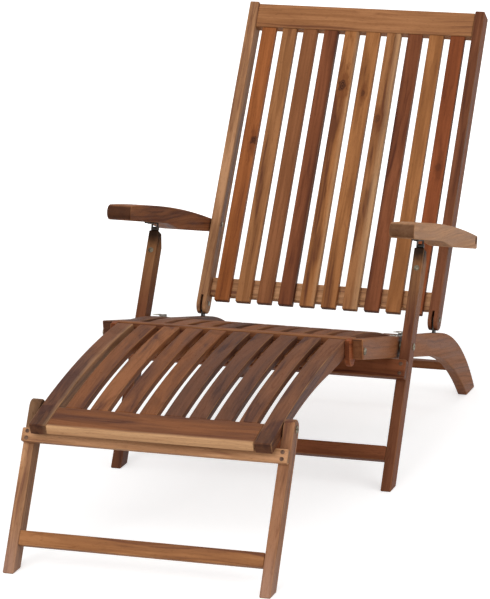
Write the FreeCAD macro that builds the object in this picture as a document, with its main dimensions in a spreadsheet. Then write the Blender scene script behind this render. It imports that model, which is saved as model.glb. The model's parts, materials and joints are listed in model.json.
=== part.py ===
"""Steamer deck chair with a folding back, swinging arms and a slatted leg rest.

Millimetres, +Z up, X across the chair, the sitter looks towards -Y. The pieces are drawn
about a base line across the floor, and the finished chair is moved so that its origin is
the middle of its outline on the floor.
"""
import FreeCAD, Part
import Sketcher
import math
import os

Vector = FreeCAD.Vector
Placement = FreeCAD.Placement
Rotation = FreeCAD.Rotation

doc = FreeCAD.newDocument("steamer_deck_chair")

# Driving sizes, in mm and degrees
SIZES = {
    # wood sections and edges
    "seat_inner_width": 460,
    "rail_thickness": 20,
    "edge_round": 2.5,
    "slat_round": 2,
    "joint_gap": 0.3,
    "running_fit": 0.08,
    "hole_play": 0.2,
    # seat rails, each with its rear leg in one bent piece
    "seat_front_y": -225,
    "seat_front_height": 319,
    "seat_slope": 12.3,
    "seat_rail_depth": 40,
    "seat_rail_rake": 7,
    "rear_bend_y": 377,
    "rear_foot_y": 680,
    "rear_foot_length": 68,
    "underside_bend_y": 300,
    "underside_bend_depth": 45.5,
    # seat slats and the rails under them
    "seat_slat_count": 10,
    "seat_slat_width": 30,
    "seat_slat_thickness": 14,
    "seat_crown_rise": 8,
    "seat_crown_end_y": 90,
    "seat_slat_end_y": 345,
    "seat_slat_end_drop": 7,
    "seat_nosing_setback": 12,
    "seat_nosing_depth": 22,
    "seat_nosing_thickness": 12.5,
    "seat_rail_board": 22,
    "seat_rail_board_height": 22,
    "stretcher_y": 517,
    "stretcher_height": 77,
    "stretcher_section_z": 16,
    "stretcher_section_y": 20,
    # uprights, which carry the arms
    "upright_pivot_y": 49.4,
    "upright_pivot_drop": 18.4,
    "upright_lean": 60,
    "upright_depth": 36,
    "upright_thickness": 20,
    "upright_setback": 3,
    "upright_side_gap": 6,
    "arm_hinge_reach": 195,
    "arm_hinge_offset": 15.4,
    "stop_board_height": 36.5,
    "stop_board_thickness": 18,
    "upright_bar_height": 28,
    "upright_bar_thickness": 20,
    "upright_bar_drop": 215,
    # back
    "back_pivot_y": 362,
    "back_pivot_rise": 27,
    "back_lean": 56.2,
    "stile_depth": 38,
    "stile_length": 667,
    "stile_foot": 21.6,
    "back_slat_count": 10,
    "back_slat_width": 30,
    "back_slat_thickness": 14,
    "back_slat_start": 4,
    "top_rail_height": 52,
    "top_rail_thickness": 24,
    "top_rail_drop": 4,
    "top_rail_setback": 2,
    "back_slat_setback": 4,
    "bottom_rail_start": 19,
    "bottom_rail_height": 38,
    "bottom_rail_thickness": 16,
    "peg_reach": 171.1,
    "peg_offset": 4.3,
    # armrests
    "arm_width": 47.5,
    "arm_side_gap": 2.5,
    "arm_flat_tilt": 3.13,
    "hinge_drop": 12,
    "arm_front_reach": 183,
    "arm_front_thickness": 29.3,
    "arm_nose": 14,
    "arm_crown_reach": 59,
    "arm_crown_height": 43.9,
    "arm_step_reach": 147.8,
    "arm_step_drop": 10.4,
    "arm_flat_end": 20,
    "arm_rear_margin": 6,
    "arm_rear_thickness": 25.7,
    "peg_radius": 3,
    "slot_run": 5.1,
    "slot_rise": 3.3,
    "slot_play": 0.35,
    "arm_fold_limit": 75.8,
    "bevel_gap": 1.2,
    # arm hinges
    "knuckle_radius": 4,
    "hinge_pin_radius": 2,
    "knuckle_gap": 0.5,
    "leaf_thickness": 2.5,
    "leaf_offset": 1,
    "leaf_width": 14,
    "lower_leaf_length": 54,
    "upper_leaf_length": 46,
    "leaf_bolt_drop": 45,
    "leaf_screw_margin": 9,
    "leaf_screw_pitch": 21,
    # leg rest
    "leg_rest_pivot_drop": 22.5,
    "leg_rest_pivot_setback": 14,
    "leg_rest_side_gap": 11,
    "leg_rest_rail_width": 32,
    "leg_rest_rear_reach": 19,
    "leg_rest_rear_rise": 24.5,
    "leg_rest_reach": 490,
    "leg_rest_fall": 70,
    "leg_rest_crown": 14.5,
    "leg_rest_nose_rake": 11,
    "leg_rest_nose_depth": 20,
    "leg_rest_heel_reach": 118,
    "leg_rest_heel_drop": 15.5,
    "leg_rest_hollow": 12.7,
    "leg_rest_lobe": 9,
    "leg_rest_neck": 10,
    "spacer_front": 26,
    "spacer_rear": 13,
    "spacer_step": 5,
    "spacer_shoulder": 7,
    "spacer_belly": 6,
    "spacer_fall": 28,
    "leg_rest_slat_count": 8,
    "leg_rest_slat_width": 32,
    "leg_rest_slat_thickness": 13,
    "leg_rest_front_board": 66,
    "leg_rest_front_thickness": 17.5,
    "leg_rest_board": 22,
    "leg_rest_rear_board_height": 21,
    "leg_rest_mid_board_height": 15,
    "leg_rest_mid_reach": 105,
    # legs of the leg rest
    "leg_pivot_clearance": 7,
    "leg_pivot_depth": 13,
    "leg_lean": 61.5,
    "leg_depth": 34,
    "leg_thickness": 20,
    "leg_side_gap": 2,
    "crossbar_height": 24.5,
    "crossbar_thickness": 14.5,
    "leg_bar_height": 26,
    "leg_bar_thickness": 18,
    "leg_bar_drop": 233,
    # steel fittings
    "bolt_radius": 3,
    "bolt_head_radius": 7,
    "bolt_head_height": 2.5,
    "bolt_dome": 1.5,
    "bolt_end": 1,
    "pin_head_radius": 5,
    "pin_head_height": 1.2,
    "peg_recess": 2,
    "nut_radius": 6,
    "nut_height": 5,
    "washer_radius": 9,
    "screw_radius": 2,
    "screw_head_radius": 3.8,
    "screw_head_top_radius": 2.85,
    "screw_head_height": 1,
    "screw_length": 26,
    "leaf_screw_length": 11,
    "catch_screw_length": 12,
    "tang_thickness": 4,
    "tang_width": 16,
    "tang_depth": 20,
    "tang_side_gap": 0.5,
    "tang_top_gap": 4,
    "catch_length": 66,
    "catch_width": 15,
    "catch_height": 8,
    "catch_thickness": 2,
    "catch_lip": 40,
    "catch_setback": 12,
}

sheet = doc.addObject("Spreadsheet::Sheet", "Sizes")
for row, (alias, value) in enumerate(SIZES.items(), start=1):
    sheet.set("A%d" % row, alias)
    sheet.set("B%d" % row, str(value))
    sheet.setAlias("B%d" % row, alias)
doc.recompute()

FLOOR = 0
OVERSHOOT = 1
TOLERANCE = 0.01
SHARP_ANGLE = 15


def size(alias):
    """A driving size, read from the sheet."""
    return float(getattr(sheet, alias))


def count(alias):
    return int(round(size(alias)))


# Plane geometry: a point of a side view is a Vector whose x is Y and whose y is Z

def point(y, z):
    return Vector(y, z, 0)


def toward(angle):
    """Unit vector at an angle above the +Y direction."""
    return point(math.cos(math.radians(angle)), math.sin(math.radians(angle)))


def angle_of(vector):
    return math.degrees(math.atan2(vector.y, vector.x))


def crowned_middle(start, end, rise):
    """Middle of an arc from start to end that rises above its chord."""
    chord = end - start
    across = point(-chord.y, chord.x).normalize()
    if across.y < 0:
        across = -across
    return (start + end) * 0.5 + across * rise


def tangent_middle(start, heading, end):
    """Middle of the arc that leaves start at the heading angle and stops at end."""
    chord = end - start
    bend = math.radians((angle_of(chord) - heading + 180) % 360 - 180)
    along = point(chord.x, chord.y).normalize()
    across = point(along.y, -along.x)
    return (start + end) * 0.5 + across * (chord.Length / 2 * math.tan(bend / 2))


class Curve:
    """An arc in side view that can be offset downwards along its normal."""

    def __init__(self, start, middle, end):
        circle = Part.Circle(start, middle, end)
        self.centre = circle.Center
        self.radius = circle.Radius
        self.rising = 1 if middle.y > self.centre.y else -1

    def height(self, y):
        reach = math.sqrt(self.radius ** 2 - (y - self.centre.x) ** 2)
        return self.centre.y + self.rising * reach

    def at(self, y, depth=0):
        """The point at y on the arc, moved down along the arc's normal by depth."""
        on_arc = point(y, self.height(y))
        inward = (self.centre - on_arc).normalize() * self.rising
        return on_arc + inward * depth

    def slope(self, y):
        radial = self.centre - point(y, self.height(y))
        return angle_of(point(-radial.y, radial.x) * self.rising)

    def strip(self, from_y, to_y, upper, lower):
        """Outline of a board that follows the arc between two depths under it."""
        middle = (from_y + to_y) / 2
        return [
            (self.at(from_y, upper),),
            (self.at(middle, upper), self.at(to_y, upper)),
            (self.at(to_y, lower),),
            (self.at(middle, lower), self.at(from_y, lower)),
        ]


class Frame:
    """A tilted set of axes in side view: its y axis points at the given angle."""

    def __init__(self, origin, angle):
        self.origin = origin
        self.angle = angle

    def local(self, place):
        step = place - self.origin
        across = toward(self.angle)
        up = toward(self.angle + 90)
        return point(step.dot(across), step.dot(up))

    def world(self, place):
        return self.origin + toward(self.angle) * place.x + toward(self.angle + 90) * place.y

    def floor_under(self, y):
        """Local height at which the line at local y meets the floor."""
        sine = math.sin(math.radians(self.angle))
        cosine = math.cos(math.radians(self.angle))
        return (FLOOR - self.origin.y - y * sine) / cosine

    def placement(self, x=0):
        turn = Rotation(Vector(1, 0, 0), self.angle)
        return Placement(Vector(x, self.origin.x, self.origin.y), turn)


UNTILTED = Frame(point(0, 0), 0)

# Document helpers


def new_body(label):
    body = doc.addObject("PartDesign::Body", label)
    body.Label = label
    return body


def origin_plane(body, role):
    return [feature for feature in body.Origin.OriginFeatures if feature.Role == role][0]


def draw(sketch, outline):
    """Draw a closed outline: each step ends at its last point, by an arc if it has two."""
    here = outline[-1][-1]
    for step in outline:
        there = step[-1]
        if len(step) == 2:
            edge = Part.Arc(here, step[0], there)
        else:
            edge = Part.LineSegment(here, there)
        index = sketch.addGeometry(edge, False)
        sketch.addConstraint(Sketcher.Constraint("Block", index))
        here = there


def side_sketch(body, name, outline):
    sketch = body.newObject("Sketcher::SketchObject", name)
    sketch.AttachmentSupport = [(origin_plane(body, "YZ_Plane"), "")]
    sketch.MapMode = "FlatFace"
    draw(sketch, outline)
    return sketch


def is_sharp(shape, edge):
    """Whether the two faces beside an edge meet at an angle."""
    middle = edge.valueAt((edge.FirstParameter + edge.LastParameter) / 2)
    normals = []
    for face in shape.ancestorsOfType(edge, Part.Face):
        u, v = face.Surface.parameter(middle)
        normals.append(face.normalAt(u, v))
    return len(normals) == 2 and normals[0].getAngle(normals[1]) > math.radians(SHARP_ANGLE)


def round_edges(body, feature, radius, wall):
    """Round every sharp edge, less where the wall is thin."""
    doc.recompute()
    names = []
    for index, edge in enumerate(feature.Shape.Edges, start=1):
        if is_sharp(feature.Shape, edge):
            names.append("Edge%d" % index)
    rounding = body.newObject("PartDesign::Fillet", body.Label + "_rounding")
    rounding.Base = (feature, names)
    rounding.setExpression("Radius", "min(Sizes.%s; 0.2 * Sizes.%s)" % (radius, wall))


def side_piece(label, outline, thickness, frame=UNTILTED, x=0, radius="edge_round"):
    """A piece sawn to an outline in side view, with its edges rounded."""
    body = new_body(label)
    pad = body.newObject("PartDesign::Pad", label + "_sawn")
    pad.Profile = side_sketch(body, label + "_outline", outline)
    pad.SideType = "Symmetric"
    pad.setExpression("Length", "Sizes." + thickness)
    if radius:
        round_edges(body, pad, radius, thickness)
    body.Placement = frame.placement(x)
    return body


def cross_piece(label, outline, half_width, wall, frame=UNTILTED, radius="edge_round"):
    """A board that runs across the chair, symmetric about its middle."""
    body = new_body(label)
    pad = body.newObject("PartDesign::Pad", label + "_sawn")
    pad.Profile = side_sketch(body, label + "_outline", outline)
    pad.SideType = "Symmetric"
    pad.setExpression("Length", "2 * (%s)" % half_width)
    if radius:
        round_edges(body, pad, radius, wall)
    body.Placement = frame.placement()
    return body


def box_outline(y1, y2, z1, z2):
    return [(point(y1, z1),), (point(y2, z1),), (point(y2, z2),), (point(y1, z2),)]


def bore(body, place, radius, from_x, to_x):
    """Cut a round hole along X, at a point of the piece's own side view."""
    hole = body.newObject("PartDesign::SubtractiveCylinder", body.Label + "_bore")
    hole.setExpression("Radius", radius)
    hole.Height = to_x - from_x
    hole.Placement = Placement(Vector(from_x, place.x, place.y), Rotation(Vector(0, 1, 0), 90))


def through_bore(body, place, radius, half_width):
    """Cut a round hole right through a piece that reaches half_width to each side."""
    bore(body, place, radius, -half_width - OVERSHOOT, half_width + OVERSHOOT)


def slot(body, x1, x2, y1, y2, z1, z2):
    """Cut a straight slot out of a piece, in the piece's own axes."""
    cut = body.newObject("PartDesign::SubtractiveBox", body.Label + "_slot")
    cut.Length = x2 - x1
    cut.Width = y2 - y1
    cut.Height = z2 - z1
    cut.Placement = Placement(Vector(x1, y1, z1), Rotation())


def pocket(body, outline, width):
    """Cut an outline of the side view over a width about the piece's middle."""
    cut = body.newObject("PartDesign::Pocket", body.Label + "_pocket")
    cut.Profile = side_sketch(body, body.Label + "_pocket_outline", outline)
    cut.SideType = "Symmetric"
    cut.setExpression("Length", width)


def rod(body, radius, from_x, to_x):
    """Add a cylinder along X on the piece's own axis."""
    part = body.newObject("PartDesign::AdditiveCylinder", body.Label + "_rod")
    part.setExpression("Radius", radius)
    part.Height = to_x - from_x
    part.Placement = Placement(Vector(from_x, 0, 0), Rotation(Vector(0, 1, 0), 90))
    return part


def on_side(frame, place, side):
    """Placement of a fitting on one side: on the left its X is turned round."""
    spot = frame.placement().multiply(Placement(Vector(0, place.x, place.y), Rotation()))
    if side < 0:
        spot = spot.multiply(Placement(Vector(), Rotation(Vector(0, 0, 1), 180)))
    return spot


def pivot_bolt(label, frame, place, side, inner_x, outer_x):
    """A bolt whose domed head lies at outer_x and whose shank ends at inner_x."""
    body = new_body(label)
    rod(body, "Sizes.bolt_radius", inner_x, outer_x)
    head = rod(body, "Sizes.bolt_head_radius", outer_x, outer_x + size("bolt_head_height"))
    doc.recompute()
    dome = body.newObject("PartDesign::Fillet", label + "_dome")
    rim = []
    for index, edge in enumerate(head.Shape.Edges, start=1):
        at_end = abs(edge.BoundBox.XMin - outer_x - size("bolt_head_height")) < TOLERANCE
        if at_end and edge.BoundBox.XLength < TOLERANCE:
            rim.append("Edge%d" % index)
    dome.Base = (head, rim)
    dome.setExpression("Radius", "Sizes.bolt_dome")
    body.Placement = on_side(frame, place, side)
    return body


def pivot_nut(label, frame, place, side, inner_x):
    """A hexagon nut whose outer face lies at inner_x plus the nut's height."""
    body = new_body(label)
    prism = body.newObject("PartDesign::AdditivePrism", label + "_hexagon")
    prism.Polygon = 6
    prism.setExpression("Circumradius", "Sizes.nut_radius")
    prism.setExpression("Height", "Sizes.nut_height")
    prism.Placement = Placement(Vector(inner_x, 0, 0), Rotation(Vector(0, 1, 0), 90))
    bore(body, point(0, 0), "Sizes.bolt_radius + 0.5 * Sizes.hole_play", inner_x - OVERSHOOT,
         inner_x + size("nut_height") + OVERSHOOT)
    body.Placement = on_side(frame, place, side)
    return body


def washer(label, frame, place, side, from_x, to_x):
    body = new_body(label)
    rod(body, "Sizes.washer_radius", from_x, to_x)
    bore(body, point(0, 0), "Sizes.bolt_radius + Sizes.hole_play", from_x - OVERSHOOT,
         to_x + OVERSHOOT)
    body.Placement = on_side(frame, place, side)
    return body


def wood_screw(label, placement, length):
    """A screw along its own -Z, with its head's underside at the origin."""
    body = new_body(label)
    shank = body.newObject("PartDesign::AdditiveCylinder", label + "_shank")
    shank.setExpression("Radius", "Sizes.screw_radius")
    shank.setExpression("Height", "Sizes." + length)
    shank.Placement = Placement(Vector(0, 0, -size(length)), Rotation())
    head = body.newObject("PartDesign::AdditiveCone", label + "_head")
    head.setExpression("Radius1", "Sizes.screw_head_radius")
    head.setExpression("Radius2", "Sizes.screw_head_top_radius")
    head.setExpression("Height", "Sizes.screw_head_height")
    body.Placement = placement
    return body


def group(label, members):
    """Several solids that share one node."""
    compound = doc.addObject("Part::Compound", label)
    compound.Label = label
    compound.Links = members
    return compound


def both_sides(make):
    """Call make for the left and the right side."""
    return [make("left", -1), make("right", 1)]


# Places across the chair

INNER = "Sizes.seat_inner_width / 2"
rail_inner_x = size("seat_inner_width") / 2
rail_outer_x = rail_inner_x + size("rail_thickness")
rail_x = (rail_inner_x + rail_outer_x) / 2
upright_inner_x = rail_outer_x + size("upright_side_gap")
upright_outer_x = upright_inner_x + size("upright_thickness")
upright_x = (upright_inner_x + upright_outer_x) / 2
arm_inner_x = rail_outer_x + size("arm_side_gap")
arm_outer_x = arm_inner_x + size("arm_width")
arm_x = (arm_inner_x + arm_outer_x) / 2
leg_rest_outer_x = rail_inner_x - size("leg_rest_side_gap")
leg_rest_inner_x = leg_rest_outer_x - size("leg_rest_rail_width")
leg_rest_x = (leg_rest_inner_x + leg_rest_outer_x) / 2
leg_inner_x = leg_rest_outer_x + size("leg_side_gap")
leg_outer_x = leg_inner_x + size("leg_thickness")
leg_x = (leg_inner_x + leg_outer_x) / 2
gap = size("joint_gap")

# Places in side view

seat_heading = -size("seat_slope")
rail_front_top = point(size("seat_front_y"), size("seat_front_height"))


def rail_top(y, drop=0):
    """The point at y on the seat rail's straight top edge, or below it."""
    fall = (y - rail_front_top.x) * math.tan(math.radians(seat_heading))
    return point(y, rail_front_top.y + fall - drop)


upright_pivot = rail_top(size("upright_pivot_y"), size("upright_pivot_drop"))
back_pivot = rail_top(size("back_pivot_y"), -size("back_pivot_rise"))
leg_rest_pivot = rail_top(rail_front_top.x + size("leg_rest_pivot_setback"),
                          size("leg_rest_pivot_drop"))
upright_frame = Frame(upright_pivot, size("upright_lean") - 90)
back_frame = Frame(back_pivot, size("back_lean") - 90)
arm_hinge_spot = point(-size("arm_hinge_offset"), size("arm_hinge_reach"))
arm_hinge = upright_frame.world(arm_hinge_spot)
peg_spot = point(-size("peg_offset"), size("peg_reach"))
peg = back_frame.world(peg_spot)
arm_frame = Frame(arm_hinge, angle_of(peg - arm_hinge) - size("arm_flat_tilt"))

rail_front_bottom = rail_front_top + point(size("seat_rail_rake"), -size("seat_rail_depth"))
underside_bend = rail_top(size("underside_bend_y"), size("underside_bend_depth"))
underside = Frame(rail_front_bottom, angle_of(underside_bend - rail_front_bottom))

# The seat surface: a crown over the front and a shallow dish behind it
crown_start = rail_top(rail_front_top.x + size("seat_nosing_setback"))
crown_end = rail_top(size("seat_crown_end_y"))
dish_end = rail_top(size("seat_slat_end_y"), size("seat_slat_end_drop"))
crown = Curve(crown_start, crowned_middle(crown_start, crown_end, size("seat_crown_rise")),
              crown_end)
dish = Curve(crown_end, tangent_middle(crown_end, crown.slope(crown_end.x), dish_end), dish_end)

# The leg rest's surface and its rails' hollow underside
leg_rest_rear = leg_rest_pivot + point(-size("leg_rest_rear_reach"), size("leg_rest_rear_rise"))
leg_rest_front = point(leg_rest_pivot.x - size("leg_rest_reach"),
                       leg_rest_rear.y - size("leg_rest_fall"))
leg_rest_top = Curve(leg_rest_front,
                     crowned_middle(leg_rest_front, leg_rest_rear, size("leg_rest_crown")),
                     leg_rest_rear)
leg_rest_toe = leg_rest_front + point(size("leg_rest_nose_rake"), -size("leg_rest_nose_depth"))
leg_rest_heel = leg_rest_pivot + point(-size("leg_rest_heel_reach"), -size("leg_rest_heel_drop"))
leg_rest_under_middle = crowned_middle(leg_rest_toe, leg_rest_heel, size("leg_rest_hollow"))

# The legs turn just behind the front board, whose end clears their nuts
front_board_end = leg_rest_front.x + size("leg_rest_front_board")
leg_pivot_y = front_board_end + size("leg_pivot_clearance") + size("nut_radius")
leg_pivot = point(leg_pivot_y, leg_rest_top.height(leg_pivot_y) - size("leg_pivot_depth"))
leg_frame = Frame(leg_pivot, size("leg_lean") - 90)


def spaced(total, across, pieces):
    """Middles of equal pieces spread over a width with equal gaps."""
    clear = (total - pieces * across) / (pieces + 1)
    return [-total / 2 + clear + across / 2 + i * (across + clear) for i in range(pieces)]


def drive_screws(label, places, length, pieces):
    """Screws at the given places, with a hole for each in every piece it enters."""
    screws = []
    for number, place in enumerate(places, start=1):
        screws.append(wood_screw("%s_%d" % (label, number), place, length))
        for piece in pieces:
            local = piece.Placement.inverse().multiply(place)
            start = Placement(Vector(0, 0, -size(length) - gap), Rotation())
            hole = piece.newObject("PartDesign::SubtractiveCylinder", piece.Label + "_screw_hole")
            hole.setExpression("Radius", "Sizes.screw_radius + 0.5 * Sizes.hole_play")
            hole.Height = size(length) + 2 * gap
            hole.Placement = local.multiply(start)
    return screws


# Seat frame

def seat_rail(name, side):
    top_bend = rail_top(size("rear_bend_y"))
    foot_back = point(size("rear_foot_y"), FLOOR)
    foot_front = point(size("rear_foot_y") - size("rear_foot_length"), FLOOR)
    outline = [
        (top_bend,),
        (tangent_middle(top_bend, seat_heading, foot_back), foot_back),
        (foot_front,),
        (tangent_middle(underside_bend, underside.angle, foot_front), underside_bend),
        (rail_front_bottom,),
        (rail_front_top,),
    ]
    rail = side_piece("seat_rail_" + name, outline, "rail_thickness", x=side * rail_x)
    half = size("rail_thickness") / 2
    for pivot in (upright_pivot, leg_rest_pivot):
        through_bore(rail, pivot, "Sizes.bolt_radius + Sizes.running_fit", half)
    play = size("hole_play")
    side_y = size("tang_width") / 2 + play
    foot = -tang_reach() - play
    corners = box_outline(-side_y, side_y, foot, size("tang_width"))
    mortise = [(tang_frame.world(corner[0]),) for corner in corners]
    pocket(rail, mortise, "Sizes.tang_thickness + 2 * Sizes.hole_play")
    return rail


tang_frame = Frame(back_pivot, seat_heading)


def tang_reach():
    rise = size("back_pivot_rise") * math.cos(math.radians(seat_heading))
    return rise + size("tang_depth")


def back_tang(name, side):
    """A steel plate that stands in the seat rail and carries the back's pivot pin."""
    half = size("tang_width") / 2
    outline = [
        (point(half, 0),),
        (point(0, half), point(-half, 0)),
        (point(-half, -tang_reach()),),
        (point(half, -tang_reach()),),
    ]
    tang = side_piece("back_tang_" + name, outline, "tang_thickness", tang_frame,
                      side * rail_x, None)
    half_plate = size("tang_thickness") / 2
    through_bore(tang, point(0, 0), "Sizes.bolt_radius + Sizes.running_fit", half_plate)
    return tang


def leg_rest_spacer(name, side):
    """A block on the seat rail's inner face, which keeps the leg rest off the rail."""
    front = -size("spacer_front")
    rear = size("spacer_rear")
    step = -size("spacer_step")
    belly = -size("spacer_belly")
    bottom = -size("spacer_fall")
    shoulder = size("spacer_shoulder")
    outline = [
        (point(rear, shoulder),),
        (point(step, shoulder),),
        (point(step, size("leg_rest_rear_rise")),),
        (point(front, size("leg_rest_rear_rise")),),
        (point(front, belly),),
        (point((front + rear) / 2, bottom), point(rear, belly)),
    ]
    shift = Frame(leg_rest_pivot, 0)
    middle = side * (rail_inner_x + leg_rest_outer_x + gap) / 2
    body = new_body("leg_rest_spacer_" + name)
    pad = body.newObject("PartDesign::Pad", body.Label + "_sawn")
    pad.Profile = side_sketch(body, body.Label + "_outline", outline)
    pad.SideType = "Symmetric"
    pad.setExpression("Length", "Sizes.leg_rest_side_gap - Sizes.joint_gap")
    round_edges(body, pad, "slat_round", "leg_rest_side_gap")
    body.Placement = shift.placement(middle)
    half = size("leg_rest_side_gap")
    bore(body, point(0, 0), "Sizes.bolt_radius + Sizes.running_fit", -half, half)
    return body


catch_front_y = size("upright_pivot_y") - size("catch_setback")
catch_frame = Frame(rail_top(catch_front_y), seat_heading)


def catch_plate(name, side):
    """A folded steel plate on the rail's top edge, open towards the front."""
    length = size("catch_length")
    wall = size("catch_thickness")
    height = size("catch_height")
    lip = length - size("catch_lip")
    outline = [
        (point(length, 0),),
        (point(length, height),),
        (point(lip, height),),
        (point(lip, height - wall),),
        (point(length - wall, height - wall),),
        (point(length - wall, wall),),
        (point(0, wall),),
        (point(0, 0),),
    ]
    return side_piece("catch_plate_" + name, outline, "catch_width", catch_frame,
                      side * rail_x, None)


def seat_slat(number, x):
    """A slat sawn to the seat's double curve."""
    start = crown_start.x + size("seat_nosing_depth")
    thick = size("seat_slat_thickness")
    crown_middle = (start + crown_end.x) / 2
    dish_middle = (crown_end.x + dish_end.x) / 2
    outline = [
        (crown.at(start),),
        (crown.at(crown_middle), crown_end),
        (dish.at(dish_middle), dish_end),
        (dish.at(dish_end.x, thick),),
        (dish.at(dish_middle, thick), dish.at(crown_end.x, thick)),
        (crown.at(crown_middle, thick), crown.at(start, thick)),
    ]
    return side_piece("seat_slat_%02d" % number, outline, "seat_slat_width", x=x,
                      radius="slat_round")


def make_seat_frame():
    rails = both_sides(seat_rail)
    tangs = both_sides(back_tang)
    spacers = both_sides(leg_rest_spacer)
    catches = both_sides(catch_plate)
    nosing_end = crown_start.x + size("seat_nosing_depth")
    nosing = cross_piece("seat_nosing",
                         crown.strip(crown_start.x, nosing_end, 0, size("seat_nosing_thickness")),
                         INNER, "seat_nosing_thickness")
    board = size("seat_rail_board")
    under = size("seat_slat_thickness")
    low = under + size("seat_rail_board_height")
    front_rail = cross_piece("seat_front_rail",
                             crown.strip(nosing_end, nosing_end + board, under, low),
                             INNER, "seat_rail_board")
    rear_rail = cross_piece("seat_rear_rail",
                            dish.strip(dish_end.x - board, dish_end.x, under, low),
                            INNER, "seat_rail_board")
    y = size("stretcher_y")
    half = size("stretcher_section_y") / 2
    z = size("stretcher_height")
    stretcher = cross_piece("rear_stretcher",
                            box_outline(y - half, y + half, z, z + size("stretcher_section_z")),
                            INNER, "stretcher_section_y")
    places = spaced(size("seat_inner_width"), size("seat_slat_width"), count("seat_slat_count"))
    slats = [seat_slat(number, x) for number, x in enumerate(places, start=1)]
    screw_y = (size("catch_length") - size("catch_lip")) / 2
    spots = []
    for x in (-rail_x, rail_x):
        on_plate = Placement(Vector(0, screw_y, size("catch_thickness")), Rotation())
        spots.append(catch_frame.placement(x).multiply(on_plate))
    screws = []
    for side in (0, 1):
        screws += drive_screws("catch_screw_%d" % side, spots[side:side + 1], "catch_screw_length",
                               [catches[side], rails[side]])
    return (rails + tangs + spacers + catches
            + [nosing, front_rail, rear_rail, stretcher]
            + [group("seat_slats", slats), group("catch_plate_screws", screws)])


# Uprights

upright_front = -size("upright_depth") / 2 - size("upright_setback")
upright_rear = size("upright_depth") / 2 - size("upright_setback")


def upright(name, side):
    """A straight post whose rear top corner is cut away for the folded arm."""
    top = size("arm_hinge_reach") - size("knuckle_radius") - size("knuckle_gap")
    folded = arm_frame.angle - size("arm_fold_limit") - upright_frame.angle
    bevel_point = arm_hinge_spot + toward(folded + 90) * (size("hinge_drop") - size("bevel_gap"))
    bevel = math.tan(math.radians(folded))
    bevel_top = bevel_point.x + (top - bevel_point.y) / bevel
    bevel_end = bevel_point.y + (upright_rear - bevel_point.x) * bevel
    outline = [
        (point(upright_rear, upright_frame.floor_under(upright_rear)),),
        (point(upright_rear, bevel_end),),
        (point(bevel_top, top),),
        (point(upright_front, top),),
        (point(upright_front, upright_frame.floor_under(upright_front)),),
    ]
    post = side_piece("upright_" + name, outline, "upright_thickness", upright_frame,
                      side * upright_x)
    half = size("upright_thickness") / 2
    through_bore(post, point(0, 0), "Sizes.bolt_radius + 0.5 * Sizes.hole_play", half)
    front, rear = leaf_faces()
    play = size("hole_play")
    slot(post, -half - OVERSHOOT, half + OVERSHOOT, front - play, rear + play,
         arm_hinge_spot.y - size("lower_leaf_length") - play, top + OVERSHOOT)
    return post


def leaf_faces():
    """Front and rear faces of the lower leaf, just behind its knuckle's middle."""
    front = arm_hinge_spot.x + size("leaf_offset")
    return front, front + size("leaf_thickness")


def add_box(body, x1, x2, y1, y2, z1, z2):
    box = body.newObject("PartDesign::AdditiveBox", body.Label + "_plate")
    box.Length = x2 - x1
    box.Width = y2 - y1
    box.Height = z2 - z1
    box.Placement = Placement(Vector(x1, y1, z1), Rotation())


def knuckle(body, place, from_x, to_x, radius="Sizes.knuckle_radius"):
    part = body.newObject("PartDesign::AdditiveCylinder", body.Label + "_knuckle")
    part.setExpression("Radius", radius)
    part.Height = to_x - from_x
    part.Placement = Placement(Vector(from_x, place.x, place.y), Rotation(Vector(0, 1, 0), 90))


def knuckle_split():
    """Half the width of the lower knuckle, and where the upper knuckles start."""
    lower = size("leaf_width") / 4
    return lower, lower + gap


def hinge_lower_leaf(name, side):
    body = new_body("hinge_lower_leaf_" + name)
    half = size("leaf_width") / 2
    inner = knuckle_split()[0]
    front, rear = leaf_faces()
    shoulder = arm_hinge_spot.y - size("knuckle_radius") - size("knuckle_gap")
    foot = arm_hinge_spot.y - size("lower_leaf_length")
    add_box(body, -half, half, front, rear, foot, shoulder)
    add_box(body, -inner, inner, front, rear, shoulder - OVERSHOOT, arm_hinge_spot.y)
    knuckle(body, arm_hinge_spot, -inner, inner)
    through_bore(body, arm_hinge_spot, "Sizes.hinge_pin_radius + Sizes.running_fit", inner)
    body.Placement = upright_frame.placement(side * upright_x)
    return body


def hinge_upper_leaf(name, side):
    """The arm's leaf: a plate, two webs, two knuckles and the pin in one piece."""
    body = new_body("hinge_upper_leaf_" + name)
    half = size("leaf_width") / 2
    start = knuckle_split()[1]
    wall = size("leaf_thickness")
    seat = size("hinge_drop")
    web_rear = -size("leaf_offset")
    add_box(body, -half, half, -size("upper_leaf_length"), web_rear, seat - wall, seat)
    for from_x, to_x in ((-half, -start), (start, half)):
        add_box(body, from_x, to_x, web_rear - wall, web_rear, 0, seat - wall + OVERSHOOT)
        knuckle(body, point(0, 0), from_x, to_x)
    knuckle(body, point(0, 0), -half, half, "Sizes.hinge_pin_radius")
    body.Placement = arm_frame.placement(side * upright_x)
    return body


def stop_board_top():
    """Height on the uprights at which the board's front top edge meets the rails."""
    front = upright_front - size("stop_board_thickness")
    start = upright_pivot + toward(upright_frame.angle) * front
    up = toward(underside.angle + 90)
    climb = toward(upright_frame.angle + 90).dot(up)
    return (-gap - (start - underside.origin).dot(up)) / climb


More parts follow.
